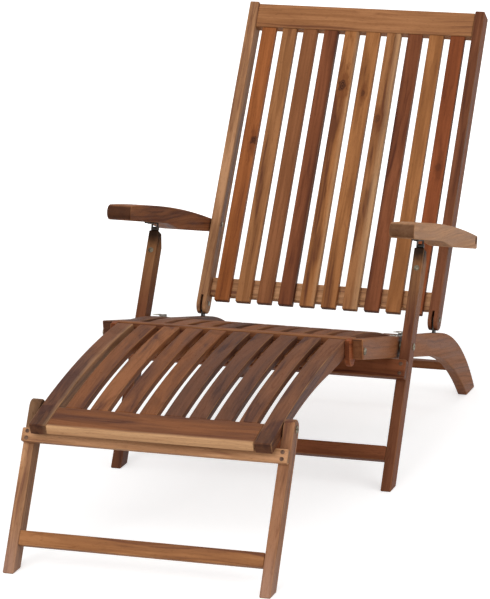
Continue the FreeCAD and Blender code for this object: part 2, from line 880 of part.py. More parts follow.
def make_uprights():
    posts = both_sides(upright)
    leaves = both_sides(hinge_lower_leaf)
    top = stop_board_top()
    front = upright_front - size("stop_board_thickness")
    board = cross_piece("stop_board",
                        box_outline(front, upright_front, top - size("stop_board_height"), top),
                        INNER + " + Sizes.rail_thickness + Sizes.upright_side_gap"
                        " + Sizes.upright_thickness", "stop_board_thickness", upright_frame)
    bar_z = -size("upright_bar_drop")
    bar_half = size("upright_bar_height") / 2
    bar_rear = upright_front + size("upright_bar_thickness")
    bar = cross_piece("upright_lower_bar",
                      box_outline(upright_front, bar_rear, bar_z - bar_half, bar_z + bar_half),
                      INNER + " + Sizes.rail_thickness + Sizes.upright_side_gap",
                      "upright_bar_thickness", upright_frame)
    nut_x = rail_inner_x - gap - size("nut_height")
    origin = point(0, 0)
    bolts = []
    nuts = []
    washers = []
    for name, side in (("left", -1), ("right", 1)):
        bolts.append(pivot_bolt("upright_bolt_" + name, upright_frame, origin, side,
                                nut_x - size("bolt_end"), upright_outer_x))
        nuts.append(pivot_nut("upright_nut_" + name, upright_frame, origin, side, nut_x))
        washers.append(washer("upright_washer_" + name, upright_frame, origin, side,
                              rail_outer_x + gap, upright_inner_x))
    turn = Rotation(Vector(1, 0, 0), 90)
    spots = []
    quarter = size("stop_board_height") / 4
    for x in (-upright_x, upright_x):
        for z in (top - quarter, top - 3 * quarter):
            spots.append(upright_frame.placement().multiply(Placement(Vector(x, front, z), turn)))
    screws = []
    for side in (0, 1):
        screws += drive_screws("stop_board_screw_%d" % side, spots[2 * side:2 * side + 2],
                               "screw_length", [board, posts[side]])
    leaf_bolts = []
    bolt_z = arm_hinge_spot.y - size("leaf_bolt_drop")
    for side, x in ((0, -upright_x), (1, upright_x)):
        spot = upright_frame.placement().multiply(Placement(Vector(x, upright_front, bolt_z), turn))
        leaf_bolts += drive_screws("leaf_bolt_%d" % side, [spot], "screw_length",
                                   [posts[side], leaves[side]])
    return (posts + [board, bar]
            + [group("hinge_lower_leaves", leaves), group("upright_pivot_bolts", bolts),
               group("upright_pivot_nuts", nuts), group("upright_washers", washers),
               group("stop_board_screws", screws), group("hinge_leaf_bolts", leaf_bolts)])


# Armrests

def armrest(name, side):
    """An arm with a rounded nose, a hinge flat under it and a tall slot near its rear end."""
    seat = size("hinge_drop")
    nose = -size("arm_front_reach")
    thick = size("arm_front_thickness")
    step = point(size("arm_step_reach"), seat - size("arm_step_drop"))
    flat_end = point(size("arm_flat_end"), seat)
    half_way = (flat_end + step) * 0.5
    peg_local = arm_frame.local(peg)
    reach = size("peg_radius") + size("slot_play")
    slot_end = peg_local.x + size("slot_run") + reach
    rear = slot_end + size("arm_rear_margin")
    rear_top = step.y + size("arm_rear_thickness")
    outline = [
        (flat_end,),
        (tangent_middle(flat_end, 0, half_way), half_way),
        (tangent_middle(step, 180, half_way), step),
        (point(rear, step.y),),
        (point(rear, rear_top),),
        (point(size("arm_crown_reach"), size("arm_crown_height")), point(nose, seat + thick)),
        (point(nose - size("arm_nose"), seat + thick / 2), point(nose, seat)),
    ]
    arm = side_piece("armrest_" + name, outline, "arm_width", arm_frame, side * arm_x)
    tall = size("slot_rise") + reach
    pocket(arm, box_outline(peg_local.x - reach, slot_end, peg_local.y - tall, peg_local.y + tall),
           "2 * Sizes.arm_width")
    return arm


def make_armrest(name, side):
    arm = armrest(name, side)
    leaf = hinge_upper_leaf(name, side)
    seat = size("hinge_drop") - size("leaf_thickness")
    turn = Rotation(Vector(1, 0, 0), 180)
    spots = []
    far = size("upper_leaf_length") - size("leaf_screw_margin")
    for reach in (far - size("leaf_screw_pitch"), far):
        local = Placement(Vector(0, -reach, seat), turn)
        spots.append(arm_frame.placement(side * upright_x).multiply(local))
    screws = drive_screws("leaf_screw_" + name, spots, "leaf_screw_length", [arm, leaf])
    return [arm, leaf, group("hinge_leaf_screws_" + name, screws)]


# Back

back_front = -size("stile_depth") / 2
slat_front = back_front + size("back_slat_setback")
slat_rear = slat_front + size("back_slat_thickness")


def back_stile(name, side):
    half = size("stile_depth") / 2
    round_z = half - size("stile_foot")
    outline = [
        (point(half, size("stile_length")),),
        (point(-half, size("stile_length")),),
        (point(-half, round_z),),
        (point(0, -size("stile_foot")), point(half, round_z)),
    ]
    stile = side_piece("back_stile_" + name, outline, "rail_thickness", back_frame, side * rail_x)
    wall = size("rail_thickness") / 2
    through_bore(stile, point(0, 0), "Sizes.bolt_radius + 0.5 * Sizes.hole_play", wall)
    through_bore(stile, peg_spot, "Sizes.peg_radius + 0.5 * Sizes.hole_play", wall)
    open_x = size("tang_thickness") / 2 + size("tang_side_gap")
    slot(stile, -open_x, open_x, -half - OVERSHOOT, half + OVERSHOOT,
         -size("stile_foot") - OVERSHOOT, size("tang_width") / 2 + size("tang_top_gap"))
    return stile


def headed_pin(label, frame, place, side, radius, from_x, to_x, heads):
    """A pin along X with a flat head at each of the given places."""
    body = new_body(label)
    rod(body, radius, from_x, to_x)
    for head_x in heads:
        rod(body, "Sizes.pin_head_radius", head_x, head_x + size("pin_head_height"))
    body.Placement = on_side(frame, place, side)
    return body


def back_slat(number, x):
    top = size("stile_length") - size("top_rail_drop") - size("top_rail_height")
    outline = box_outline(slat_front, slat_rear, size("back_slat_start"), top)
    return side_piece("back_slat_%02d" % number, outline, "back_slat_width", back_frame, x,
                      "slat_round")


def make_back():
    stiles = both_sides(back_stile)
    top = size("stile_length") - size("top_rail_drop")
    front = back_front + size("top_rail_setback")
    top_rail = cross_piece("back_top_rail",
                           box_outline(front, front + size("top_rail_thickness"),
                                       top - size("top_rail_height"), top),
                           INNER, "top_rail_thickness", back_frame)
    start = size("bottom_rail_start")
    bottom_rail = cross_piece("back_bottom_rail",
                              box_outline(slat_rear, slat_rear + size("bottom_rail_thickness"),
                                          start, start + size("bottom_rail_height")),
                              INNER, "bottom_rail_thickness", back_frame)
    places = spaced(size("seat_inner_width"), size("back_slat_width"), count("back_slat_count"))
    slats = [back_slat(number, x) for number, x in enumerate(places, start=1)]
    head = size("pin_head_height")
    pins = []
    pegs = []
    for name, side in (("left", -1), ("right", 1)):
        pins.append(headed_pin("back_pin_" + name, back_frame, point(0, 0), side,
                               "Sizes.bolt_radius", rail_inner_x, rail_outer_x,
                               (rail_inner_x - head, rail_outer_x)))
        pegs.append(headed_pin("armrest_peg_" + name, back_frame, peg_spot, side,
                               "Sizes.peg_radius", rail_inner_x, arm_outer_x - size("peg_recess"),
                               (rail_inner_x - head,)))
    return (stiles + [top_rail, bottom_rail] + slats
            + [group("back_pivot_pins", pins), group("armrest_pegs", pegs)])


# Leg rest

def leg_rest_rail(name, side):
    """A curved rail with a lobe round its pivot, stepped clear of the seat's front edge."""
    lobe = size("leg_rest_lobe")
    neck = leg_rest_pivot + point(-size("leg_rest_neck"), lobe)
    top_middle = (leg_rest_front.x + leg_rest_rear.x) / 2
    outline = [
        (leg_rest_top.at(top_middle), leg_rest_rear),
        (neck,),
        (leg_rest_pivot + point(0, lobe),),
        (leg_rest_pivot + point(lobe, 0), leg_rest_pivot + point(0, -lobe)),
        (leg_rest_heel,),
        (leg_rest_under_middle, leg_rest_toe),
        (leg_rest_front,),
    ]
    rail = side_piece("leg_rest_rail_" + name, outline, "leg_rest_rail_width",
                      x=side * leg_rest_x)
    half = size("leg_rest_rail_width") / 2
    through_bore(rail, leg_rest_pivot, "Sizes.bolt_radius + 0.5 * Sizes.hole_play", half)
    through_bore(rail, leg_pivot, "Sizes.bolt_radius + Sizes.running_fit", half)
    return rail


def make_leg_rest():
    rails = both_sides(leg_rest_rail)
    half_width = INNER + " - Sizes.leg_rest_side_gap - Sizes.leg_rest_rail_width"
    front_board = cross_piece("leg_rest_front_board",
                              leg_rest_top.strip(leg_rest_front.x, front_board_end, 0,
                                                 size("leg_rest_front_thickness")),
                              half_width, "leg_rest_front_thickness")
    thick = size("leg_rest_slat_thickness")
    board = size("leg_rest_board")
    rear_board = cross_piece("leg_rest_rear_board",
                             leg_rest_top.strip(leg_rest_rear.x - board, leg_rest_rear.x, thick,
                                                thick + size("leg_rest_rear_board_height")),
                             half_width, "leg_rest_board")
    middle = leg_rest_pivot.x - size("leg_rest_mid_reach")
    mid_board = cross_piece("leg_rest_mid_board",
                            leg_rest_top.strip(middle - board / 2, middle + board / 2, thick,
                                               thick + size("leg_rest_mid_board_height")),
                            half_width, "leg_rest_mid_board_height")
    slat_outline = leg_rest_top.strip(front_board_end, leg_rest_rear.x, 0, thick)
    slats = []
    places = spaced(2 * leg_rest_inner_x, size("leg_rest_slat_width"),
                    count("leg_rest_slat_count"))
    for number, x in enumerate(places, start=1):
        slats.append(side_piece("leg_rest_slat_%d" % number, slat_outline,
                                "leg_rest_slat_width", x=x, radius="slat_round"))
    nut_x = leg_rest_inner_x - size("nut_height")
    bolts = []
    for name, side in (("left", -1), ("right", 1)):
        bolts.append(pivot_bolt("leg_rest_bolt_" + name, UNTILTED, leg_rest_pivot, side,
                                nut_x - size("bolt_end"), rail_outer_x + gap))
        bolts.append(pivot_nut("leg_rest_nut_" + name, UNTILTED, leg_rest_pivot, side, nut_x))
    return (rails + [front_board, rear_board, mid_board]
            + [group("leg_rest_slats", slats), group("leg_rest_pivot_bolts", bolts)])


# Legs of the leg rest

leg_front = -size("leg_depth") / 2


def rest_leg(name, side):
    half = size("leg_depth") / 2
    outline = [
        (point(half, leg_frame.floor_under(half)),),
        (point(half, 0),),
        (point(0, half), point(-half, 0)),
        (point(-half, leg_frame.floor_under(-half)),),
    ]
    leg = side_piece("leg_rest_leg_" + name, outline, "leg_thickness", leg_frame, side * leg_x)
    wall = size("leg_thickness") / 2
    through_bore(leg, point(0, 0), "Sizes.bolt_radius + 0.5 * Sizes.hole_play", wall)
    return leg


def crossbar_top():
    """Height on the legs at which the bar's front top edge meets the curved rails."""
    circle = Part.Circle(leg_rest_toe, leg_rest_under_middle, leg_rest_heel)
    front = leg_front - size("crossbar_thickness")
    start = leg_pivot + toward(leg_frame.angle) * front - circle.Center
    up = toward(leg_frame.angle + 90)
    along = start.dot(up)
    reach = circle.Radius - gap
    return -along + math.sqrt(along ** 2 - start.dot(start) + reach ** 2)


def make_leg_rest_legs():
    legs = both_sides(rest_leg)
    top = crossbar_top()
    front = leg_front - size("crossbar_thickness")
    to_leg = INNER + " - Sizes.leg_rest_side_gap + Sizes.leg_side_gap"
    crossbar = cross_piece("leg_crossbar",
                           box_outline(front, leg_front, top - size("crossbar_height"), top),
                           to_leg + " + Sizes.leg_thickness", "crossbar_thickness", leg_frame)
    bar_z = -size("leg_bar_drop")
    bar_half = size("leg_bar_height") / 2
    bar = cross_piece("leg_lower_bar",
                      box_outline(leg_front, leg_front + size("leg_bar_thickness"),
                                  bar_z - bar_half, bar_z + bar_half),
                      to_leg, "leg_bar_thickness", leg_frame)
    nut_x = leg_rest_inner_x - gap - size("nut_height")
    origin = point(0, 0)
    bolts = []
    washers = []
    for name, side in (("left", -1), ("right", 1)):
        bolts.append(pivot_bolt("leg_bolt_" + name, leg_frame, origin, side,
                                nut_x - size("bolt_end"), leg_outer_x))
        bolts.append(pivot_nut("leg_nut_" + name, leg_frame, origin, side, nut_x))
        washers.append(washer("leg_washer_" + name, leg_frame, origin, side,
                              leg_rest_outer_x + gap, leg_inner_x))
    turn = Rotation(Vector(1, 0, 0), 90)
    spots = []
    quarter = size("crossbar_height") / 4
    for x in (-leg_x, leg_x):
        for z in (top - quarter, top - 3 * quarter):
            spots.append(leg_frame.placement().multiply(Placement(Vector(x, front, z), turn)))
    screws = []
    for side in (0, 1):
        screws += drive_screws("crossbar_screw_%d" % side, spots[2 * side:2 * side + 2],
                               "screw_length", [crossbar, legs[side]])
    return (legs + [crossbar, bar]
            + [group("leg_pivot_bolts", bolts), group("leg_washers", washers),
               group("leg_crossbar_screws", screws)])


def centre_on_floor(nodes):
    """Move every body so that the outline's middle is over the origin."""
    extent = Part.makeCompound([node.Shape for node in nodes]).optimalBoundingBox(False, False)
    middle = (extent.YMin + extent.YMax) / 2
    for body in doc.findObjects("PartDesign::Body"):
        shift = Placement(Vector(0, -middle, 0), Rotation())
        body.Placement = shift.multiply(body.Placement)
    doc.recompute()
    return middle


def check(nodes):
    """Stop if anything in the document failed."""
    for item in doc.Objects:
        if "Invalid" in item.State or "Error" in item.State:
            raise SystemExit("failed: " + item.Name + " " + item.Label)
    for node in nodes:
        if node.Shape.isNull() or not node.Shape.isValid():
            raise SystemExit("bad shape: " + node.Label)


def main():
    nodes = (make_seat_frame() + make_uprights() + make_armrest("left", -1)
             + make_armrest("right", 1) + make_back() + make_leg_rest() + make_leg_rest_legs())
    doc.recompute()
    check(nodes)
    middle = centre_on_floor(nodes)
    check(nodes)
    os.makedirs("parts", exist_ok=True)
    for node in nodes:
        node.Shape.exportStep("parts/%s.step" % node.Label)
    print(len(nodes), "nodes,", sum(len(node.Shape.Solids) for node in nodes), "solids")
    pivots = {"upright": upright_pivot, "back": back_pivot, "arm hinge": arm_hinge, "peg": peg,
              "leg rest": leg_rest_pivot, "leg": leg_pivot}
    for name, place in pivots.items():
        print(name, "pivot", round((place.x - middle) / 1000, 5), round(place.y / 1000, 5))


main()
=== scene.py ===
# %% [markdown]
# # A folding deck chair in oiled hardwood
# The chair's wooden pieces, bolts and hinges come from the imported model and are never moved.
# This script gives each one its finish, adds the screw and bolt details that a plain model
# leaves out, and sets up the light and the camera of a plain studio.

# %% Load the chair
import json
import math

import bmesh
import bpy
from mathutils import Matrix, Vector


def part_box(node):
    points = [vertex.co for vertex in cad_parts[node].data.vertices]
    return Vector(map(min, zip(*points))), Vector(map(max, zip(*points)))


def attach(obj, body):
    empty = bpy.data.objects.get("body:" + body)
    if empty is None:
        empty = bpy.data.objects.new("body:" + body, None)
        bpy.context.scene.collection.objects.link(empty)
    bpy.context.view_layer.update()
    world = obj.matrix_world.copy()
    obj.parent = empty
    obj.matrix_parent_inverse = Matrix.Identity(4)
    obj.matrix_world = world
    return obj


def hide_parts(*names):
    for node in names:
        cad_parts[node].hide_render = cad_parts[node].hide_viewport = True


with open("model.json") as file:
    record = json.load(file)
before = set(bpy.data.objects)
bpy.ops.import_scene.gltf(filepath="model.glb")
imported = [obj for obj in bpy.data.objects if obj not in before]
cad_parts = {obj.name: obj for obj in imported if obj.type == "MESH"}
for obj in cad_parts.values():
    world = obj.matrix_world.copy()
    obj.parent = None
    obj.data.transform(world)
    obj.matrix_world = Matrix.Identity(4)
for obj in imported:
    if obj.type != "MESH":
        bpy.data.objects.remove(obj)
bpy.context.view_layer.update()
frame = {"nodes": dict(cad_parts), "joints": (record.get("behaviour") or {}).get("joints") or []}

nodes = frame["nodes"]

# %% [markdown]
# ## The camera
# The photograph was taken from a few metres away, a little to the right of the chair and above
# it, with a long lens. A long lens keeps far and near pieces almost equally large. The small
# shift stands for the photograph's crop, whose middle is not the lens's middle. Left and right
# are meant as the camera sees them, here and in the names of the pieces.

# %% Camera
PHOTO_WIDTH = 490
FOCAL_PIXELS = 3388.2
SHIFT_RIGHT = -1.1
SHIFT_UP = 4.8
AZIMUTH = 17.02
PITCH = 13.49
CAMERA_PLACE = (1.7917, -5.9677, 1.8136)

camera_data = bpy.data.cameras.new("photo_camera")
camera_data.sensor_fit = "HORIZONTAL"
camera_data.sensor_width = 36
camera_data.lens = FOCAL_PIXELS / PHOTO_WIDTH * camera_data.sensor_width
camera_data.shift_x = SHIFT_RIGHT / PHOTO_WIDTH
camera_data.shift_y = SHIFT_UP / PHOTO_WIDTH
camera = bpy.data.objects.new("photo_camera", camera_data)
camera.location = CAMERA_PLACE
camera.rotation_euler = (math.radians(90 - PITCH), 0, math.radians(AZIMUTH))
bpy.context.scene.collection.objects.link(camera)
bpy.context.scene.camera = camera
print("lens", round(camera_data.lens, 1), "mm")

# %% [markdown]
# ## Short calls for shader nodes
# A material is a small network of nodes. Adding a node, setting its sockets and linking it
# takes several lines, so these helpers do it in one call each. A value given to a socket may
# be a plain number or another node's output.

# %% Nodes and sums
def fill(tree, socket, value):
    """Set a socket to a plain value, or link another node's output to it."""
    if isinstance(value, bpy.types.NodeSocket):
        tree.links.new(value, socket)
    else:
        socket.default_value = value


def add(tree, kind, settings=None, **sockets):
    """Add a shader node; a socket's name is written with _ for a space."""
    node = tree.nodes.new("ShaderNode" + kind)
    for name, value in (settings or {}).items():
        setattr(node, name, value)
    for name, value in sockets.items():
        fill(tree, node.inputs[name.replace("_", " ")], value)
    return node


def calc(tree, operation, *values):
    node = add(tree, "Math", {"operation": operation})
    for socket, value in zip(node.inputs, values):
        fill(tree, socket, value)
    return node.outputs[0]


def vector_calc(tree, operation, *values):
    node = add(tree, "VectorMath", {"operation": operation})
    for socket, value in zip(node.inputs, values):
        fill(tree, socket, value)
    return node.outputs["Value" if operation in ("LENGTH", "DOT_PRODUCT") else "Vector"]


def scaled(tree, vector, factor):
    return add(tree, "VectorMath", {"operation": "SCALE"}, Vector=vector, Scale=factor).outputs[0]


def ramp(tree, value, start, end, low=0.0, high=1.0):
    """Turn a value smoothly from low to high as it goes from start to end."""
    node = add(tree, "MapRange", {"interpolation_type": "SMOOTHSTEP"}, Value=value,
               From_Min=start, From_Max=end, To_Min=low, To_Max=high)
    return node.outputs["Result"]


print("helpers for nodes and sums ready")

# %% [markdown]
# ## Mixing, noise and colour
# A Mix node has a set of sockets for each kind of value, and they share their names, so they
# are called by number. Noise is made longer along the board by stretching the place that it
# reads. A seed moves that place far away, where the same noise looks different.

# %% Mixing, noise and colour
FACTOR, FIRST_VECTOR, SECOND_VECTOR, FIRST_COLOUR, SECOND_COLOUR = 0, 4, 5, 6, 7
MIXED_VECTOR, MIXED_COLOUR = 1, 2
SEED_STEP = (17.3, 31.7, 7.9)


def mix(tree, factor, first, second, mode="MIX"):
    """Mix two colours."""
    node = add(tree, "Mix", {"data_type": "RGBA", "blend_type": mode})
    for index, value in ((FACTOR, factor), (FIRST_COLOUR, first), (SECOND_COLOUR, second)):
        fill(tree, node.inputs[index], value)
    return node.outputs[MIXED_COLOUR]


def noise(tree, place, clouds, detail=2.0, seed=None):
    """Cloudy noise, with so many clouds to a metre along each axis."""
    stretched = vector_calc(tree, "MULTIPLY", place, clouds)
    if seed is not None:
        apart = vector_calc(tree, "MULTIPLY", seed, SEED_STEP)
        stretched = vector_calc(tree, "ADD", stretched, apart)
    return add(tree, "TexNoise", None, Vector=stretched, Scale=1.0, Detail=detail).outputs


def srgb(red, green, blue):
    """A colour written as on a colour card, 0 to 255, turned into light."""
    parts = []
    for part in (red, green, blue):
        share = part / 255
        parts.append(share / 12.92 if share < 0.04045 else ((share + 0.055) / 1.055) ** 2.4)
    return (*parts, 1)


print("middle grey as light:", round(srgb(128, 128, 128)[0], 3))

# %% [markdown]
# ## Node groups
# An effect that several materials use is a node group: a small network of its own, with named
# sockets. It is built once and placed in each material with that material's values. A group
# gives out only masks and places, and the shader stays in the material itself.

# %% Node groups
def new_group(name, inputs, outputs):
    """A node group with named sockets. Returns it with its input and output nodes."""
    group = bpy.data.node_groups.new(name, "ShaderNodeTree")
    for label, kind, value in inputs:
        socket = group.interface.new_socket(label, in_out="INPUT", socket_type="NodeSocket" + kind)
        if value is not None:
            socket.default_value = value
    for label, kind in outputs:
        group.interface.new_socket(label, in_out="OUTPUT", socket_type="NodeSocket" + kind)
    return group, group.nodes.new("NodeGroupInput"), group.nodes.new("NodeGroupOutput")


def use(tree, group, **sockets):
    """Place a group in a material, or in another group, with its own values."""
    node = tree.nodes.new("ShaderNodeGroup")
    node.node_tree = group
    for name, value in sockets.items():
        fill(tree, node.inputs[name.replace("_", " ")], value)
    return node.outputs


print("helpers for groups ready")

# %% [markdown]
# ## Which way a board runs
# Grain runs along a board, whatever way the board leans. A pattern made in space has to be
# turned with the board first. This group takes a point of the chair at rest, turns it by the
# board's lean, and for a board that lies across the chair it swaps two axes, so that the
# grain always runs along the last axis. It does the same to the surface's direction.

# %% Board axes
axes_group, given, result = new_group(
    "board_axes",
    [("Lean", "Float", 0.0), ("Crosswise", "Float", 0.0)],
    [("Place", "Vector"), ("Facing", "Vector")])
tree = axes_group
coordinates = add(tree, "TexCoord")
for source, label in (("Object", "Place"), ("Normal", "Facing")):
    turned = add(tree, "VectorRotate", {"rotation_type": "X_AXIS", "invert": True},
                 Vector=coordinates.outputs[source], Angle=given.outputs["Lean"]).outputs[0]
    parts = add(tree, "SeparateXYZ", None, Vector=turned).outputs
    swapped = add(tree, "CombineXYZ", None, X=parts["Z"], Y=parts["Y"], Z=parts["X"]).outputs[0]
    chosen = add(tree, "Mix", {"data_type": "VECTOR"})
    fill(tree, chosen.inputs[FACTOR], given.outputs["Crosswise"])
    fill(tree, chosen.inputs[FIRST_VECTOR], turned)
    fill(tree, chosen.inputs[SECOND_VECTOR], swapped)
    fill(tree, result.inputs[label], chosen.outputs[MIXED_VECTOR])
print("group", axes_group.name)

# %% [markdown]
# ## Grain
# A board is sawn out of a trunk, so its lines are cuts through yearly rings. The group
# measures how far a point is from the trunk's middle, the pith, and lets that line sway.
# Each ring fades in slowly and ends in a dark line, and no two rings are equally dark. Long
# thin noise gives the streaks, broad noise the bands of lighter and darker wood, and much
# finer noise the open pores that show as short dark dashes. Dark veins follow the borders of
# the bands, as lines of equal height do on a map.

# %% Grain group: the trunk's rings
SWAY_CLOUDS = (9, 9, 2.8)
RING_STRETCH = (1, 1, 0.02)
RING_FADE = 2.2
RING_END = 0.84
FAINTEST_RING = 0.35

grain_group, given, result = new_group(
    "hardwood_grain",
    [("Place", "Vector", None), ("Seed", "Float", 0.0), ("Pith", "Vector", (0.03, 0.05, 0)),
     ("Ring spacing", "Float", 0.005), ("Sway", "Float", 0.02)],
    [("Rings", "Float"), ("Streaks", "Float"), ("Bands", "Float"), ("Veins", "Float"),
     ("Pores", "Float")])
tree = grain_group
place, seed = given.outputs["Place"], given.outputs["Seed"]
slow = noise(tree, place, SWAY_CLOUDS, 2.0, seed)["Color"]
away = vector_calc(tree, "SUBTRACT", slow, (0.5, 0.5, 0.5))
bent = vector_calc(tree, "ADD", place, scaled(tree, away, given.outputs["Sway"]))
from_pith = vector_calc(tree, "SUBTRACT", bent, given.outputs["Pith"])
distance = vector_calc(tree, "LENGTH", vector_calc(tree, "MULTIPLY", from_pith, RING_STRETCH))
turns = calc(tree, "DIVIDE", distance, given.outputs["Ring spacing"])
within = calc(tree, "FRACT", turns)
fade = calc(tree, "MULTIPLY", calc(tree, "POWER", within, RING_FADE),
            ramp(tree, within, 1.0, RING_END))
ring_number = calc(tree, "ADD", calc(tree, "FLOOR", turns), calc(tree, "FLOOR", seed))
ring_chance = add(tree, "TexWhiteNoise", {"noise_dimensions": "1D"}, W=ring_number)
strength = calc(tree, "MULTIPLY_ADD", ring_chance.outputs["Value"], 1.0, FAINTEST_RING)
fill(tree, result.inputs["Rings"], calc(tree, "MULTIPLY", fade, strength))
print("group", grain_group.name, "has its rings")

# %% Grain group: streaks, bands, veins and pores
STREAK_CLOUDS = (240, 240, 6)
BAND_CLOUDS = (50, 50, 4.0)
VEINS_PER_BAND = 5.0
VEIN_WIDTH = 0.14
BREAK_CLOUDS = (60, 60, 7)
PORE_CLOUDS = (1400, 1400, 110)

streaks = noise(tree, bent, STREAK_CLOUDS, 3.0, seed)["Fac"]
fill(tree, result.inputs["Streaks"], ramp(tree, streaks, 0.3, 0.7))
broad = noise(tree, bent, BAND_CLOUDS, 3.0, seed)["Fac"]
fill(tree, result.inputs["Bands"], ramp(tree, broad, 0.34, 0.66))
level_lines = calc(tree, "PINGPONG", calc(tree, "MULTIPLY", broad, VEINS_PER_BAND), 0.5)
broken = noise(tree, place, BREAK_CLOUDS, 2.0, seed)["Fac"]
fill(tree, result.inputs["Veins"], calc(tree, "MULTIPLY", ramp(tree, level_lines, VEIN_WIDTH, 0.0),
                                        ramp(tree, broken, 0.42, 0.62)))
open_pores = noise(tree, place, PORE_CLOUDS, 1.0, seed)["Fac"]
fill(tree, result.inputs["Pores"], ramp(tree, open_pores, 0.6, 0.72))
print("group", grain_group.name, "gives", [socket.name for socket in result.inputs if socket.name])

# %% [markdown]
# ## Knots
# Where a branch grew, the grain flows round a dark disc. The group pushes the lines away
# from a point before the grain is drawn. It puts out a mask for the disc, with small rings of
# its own, and a mask for the darker wood round it, which is drawn out along the grain.

# %% Knot group
KNOT_EDGE_CLOUDS = (150, 150, 80)
KNOT_SHAPE = (1, 1, 0.6)
HALO_SHAPE = (1, 1, 0.26)
PUSH = 0.85
PUSH_FADE = -0.28
KNOT_RINGS = 16.0
RING_DEPTH = 0.28

knot_group, given, result = new_group(
    "knot",
    [("Place", "Vector", None), ("Centre", "Vector", (0, 0, 0)), ("Radius", "Float", 0.006),
     ("Darkness", "Float", 1.0)],
    [("Place", "Vector"), ("Knot", "Float"), ("Halo", "Float")])
tree = knot_group
offset = vector_calc(tree, "SUBTRACT", given.outputs["Place"], given.outputs["Centre"])
ragged = noise(tree, given.outputs["Place"], KNOT_EDGE_CLOUDS, 3.0)["Fac"]
uneven = calc(tree, "MULTIPLY_ADD", ragged, 1.5, 0.25)


def knot_reach(shape):
    """How many radii a point lies from the knot's middle, for a ragged oval."""
    away = vector_calc(tree, "LENGTH", vector_calc(tree, "MULTIPLY", offset, shape))
    return calc(tree, "MULTIPLY", calc(tree, "DIVIDE", away, given.outputs["Radius"]), uneven)


reach = knot_reach(KNOT_SHAPE)
falling = calc(tree, "EXPONENT",
               calc(tree, "MULTIPLY", calc(tree, "MULTIPLY", reach, reach), PUSH_FADE))
pull = scaled(tree, vector_calc(tree, "MULTIPLY", offset, (1, 1, 0)),
              calc(tree, "MULTIPLY", falling, PUSH))
fill(tree, result.inputs["Place"], vector_calc(tree, "SUBTRACT", given.outputs["Place"], pull))
waves = calc(tree, "SINE", calc(tree, "MULTIPLY", reach, KNOT_RINGS))
own_rings = calc(tree, "MULTIPLY_ADD", waves, RING_DEPTH, 1 - RING_DEPTH)
disc = calc(tree, "MULTIPLY", ramp(tree, reach, 1.25, 0.7), own_rings)
fill(tree, result.inputs["Knot"], calc(tree, "MULTIPLY", disc, given.outputs["Darkness"]))
fill(tree, result.inputs["Halo"], ramp(tree, knot_reach(HALO_SHAPE), 2.2, 0.6))
print("group", knot_group.name)

# %% [markdown]
# ## Edges and ends
# The rounded edges look lighter, partly because hands and weather rub the oil off them and
# partly as a painted highlight, strongest on the leg rest's rails. The sawn ends drink more oil,
# so they look darker. On a long edge the surface faces halfway between the board's side and its
# top, also where the board is curved. On an end it faces along the grain.

# %% Edge group
EDGE_PATCH_CLOUDS = (30, 30, 9)

# The Edge mask lightens worn edges and also paints a highlight along them.
edge_wear_and_highlight_group, given, result = new_group(
    "worn_and_highlit_edges",
    [("Place", "Vector", None), ("Facing", "Vector", None), ("Seed", "Float", 0.0),
     ("End from", "Float", 0.88), ("End to", "Float", 0.97)],
    [("Edge", "Float"), ("End", "Float")])
tree = edge_wear_and_highlight_group
parts = add(tree, "SeparateXYZ", None,
            Vector=vector_calc(tree, "ABSOLUTE", given.outputs["Facing"])).outputs
sideways = calc(tree, "MULTIPLY", parts["X"], parts["X"])
halfway = calc(tree, "MULTIPLY", calc(tree, "MULTIPLY", sideways, 4.0),
               calc(tree, "SUBTRACT", 1.0, sideways))
edge_patchiness = noise(tree, given.outputs["Place"], EDGE_PATCH_CLOUDS, 2.0, given.outputs["Seed"])["Fac"]
fill(tree, result.inputs["Edge"], calc(tree, "MULTIPLY", ramp(tree, halfway, 0.35, 0.95),
                                       ramp(tree, edge_patchiness, 0.3, 0.7)))
fill(tree, result.inputs["End"], ramp(tree, parts["Z"], given.outputs["End from"],
                                      given.outputs["End to"]))
print("group", edge_wear_and_highlight_group.name)

# %% [markdown]
# ## Slats that share one piece
# The slats of the seat and of the leg rest are ten and eight boards in one piece each. A
# real chair has a different board in every place. This group tells from the place across the
# chair which slat a point belongs to, as a number and as a share of the row from 0 to 1.

# %% Slat group
slat_group, given, result = new_group(
    "slat_number",
    [("Half width", "Float", 0.23), ("Count", "Float", 10.0)],
    [("Number", "Float"), ("Share", "Float")])
tree = slat_group
half_width, count = given.outputs["Half width"], given.outputs["Count"]
parts = add(tree, "SeparateXYZ", None, Vector=add(tree, "TexCoord").outputs["Object"]).outputs
along = calc(tree, "DIVIDE", calc(tree, "ADD", parts["X"], half_width),
             calc(tree, "MULTIPLY", half_width, 2.0))
number = calc(tree, "FLOOR", calc(tree, "MULTIPLY", along, count))
fill(tree, result.inputs["Number"], number)
fill(tree, result.inputs["Share"], calc(tree, "DIVIDE", calc(tree, "ADD", number, 0.5), count))
print("group", slat_group.name)

# %% [markdown]
# ## Sapwood and heartwood
# A board that was sawn near the bark has a strip of pale sapwood along one side, and one from
# the middle of the trunk may have a nearly black strip. The group gives a mask for such a
# strip. It starts at a distance in a given direction, and its border wanders along the grain.

# %% Strip group
WANDER_CLOUDS = (20, 20, 3.5)

strip_group, given, result = new_group(
    "side_strip",
    [("Place", "Vector", None), ("Across", "Vector", (1, 0, 0)), ("Start", "Float", 0.0),
     ("End", "Float", 0.01), ("Wander", "Float", 0.01)],
    [("Strip", "Float")])
tree = strip_group
place = given.outputs["Place"]
wander = noise(tree, place, WANDER_CLOUDS)["Fac"]
drift = calc(tree, "MULTIPLY", calc(tree, "SUBTRACT", wander, 0.5), given.outputs["Wander"])
across = calc(tree, "ADD", vector_calc(tree, "DOT_PRODUCT", place, given.outputs["Across"]), drift)
fill(tree, result.inputs["Strip"], ramp(tree, across, given.outputs["Start"],
                                        given.outputs["End"]))
print("group", strip_group.name)
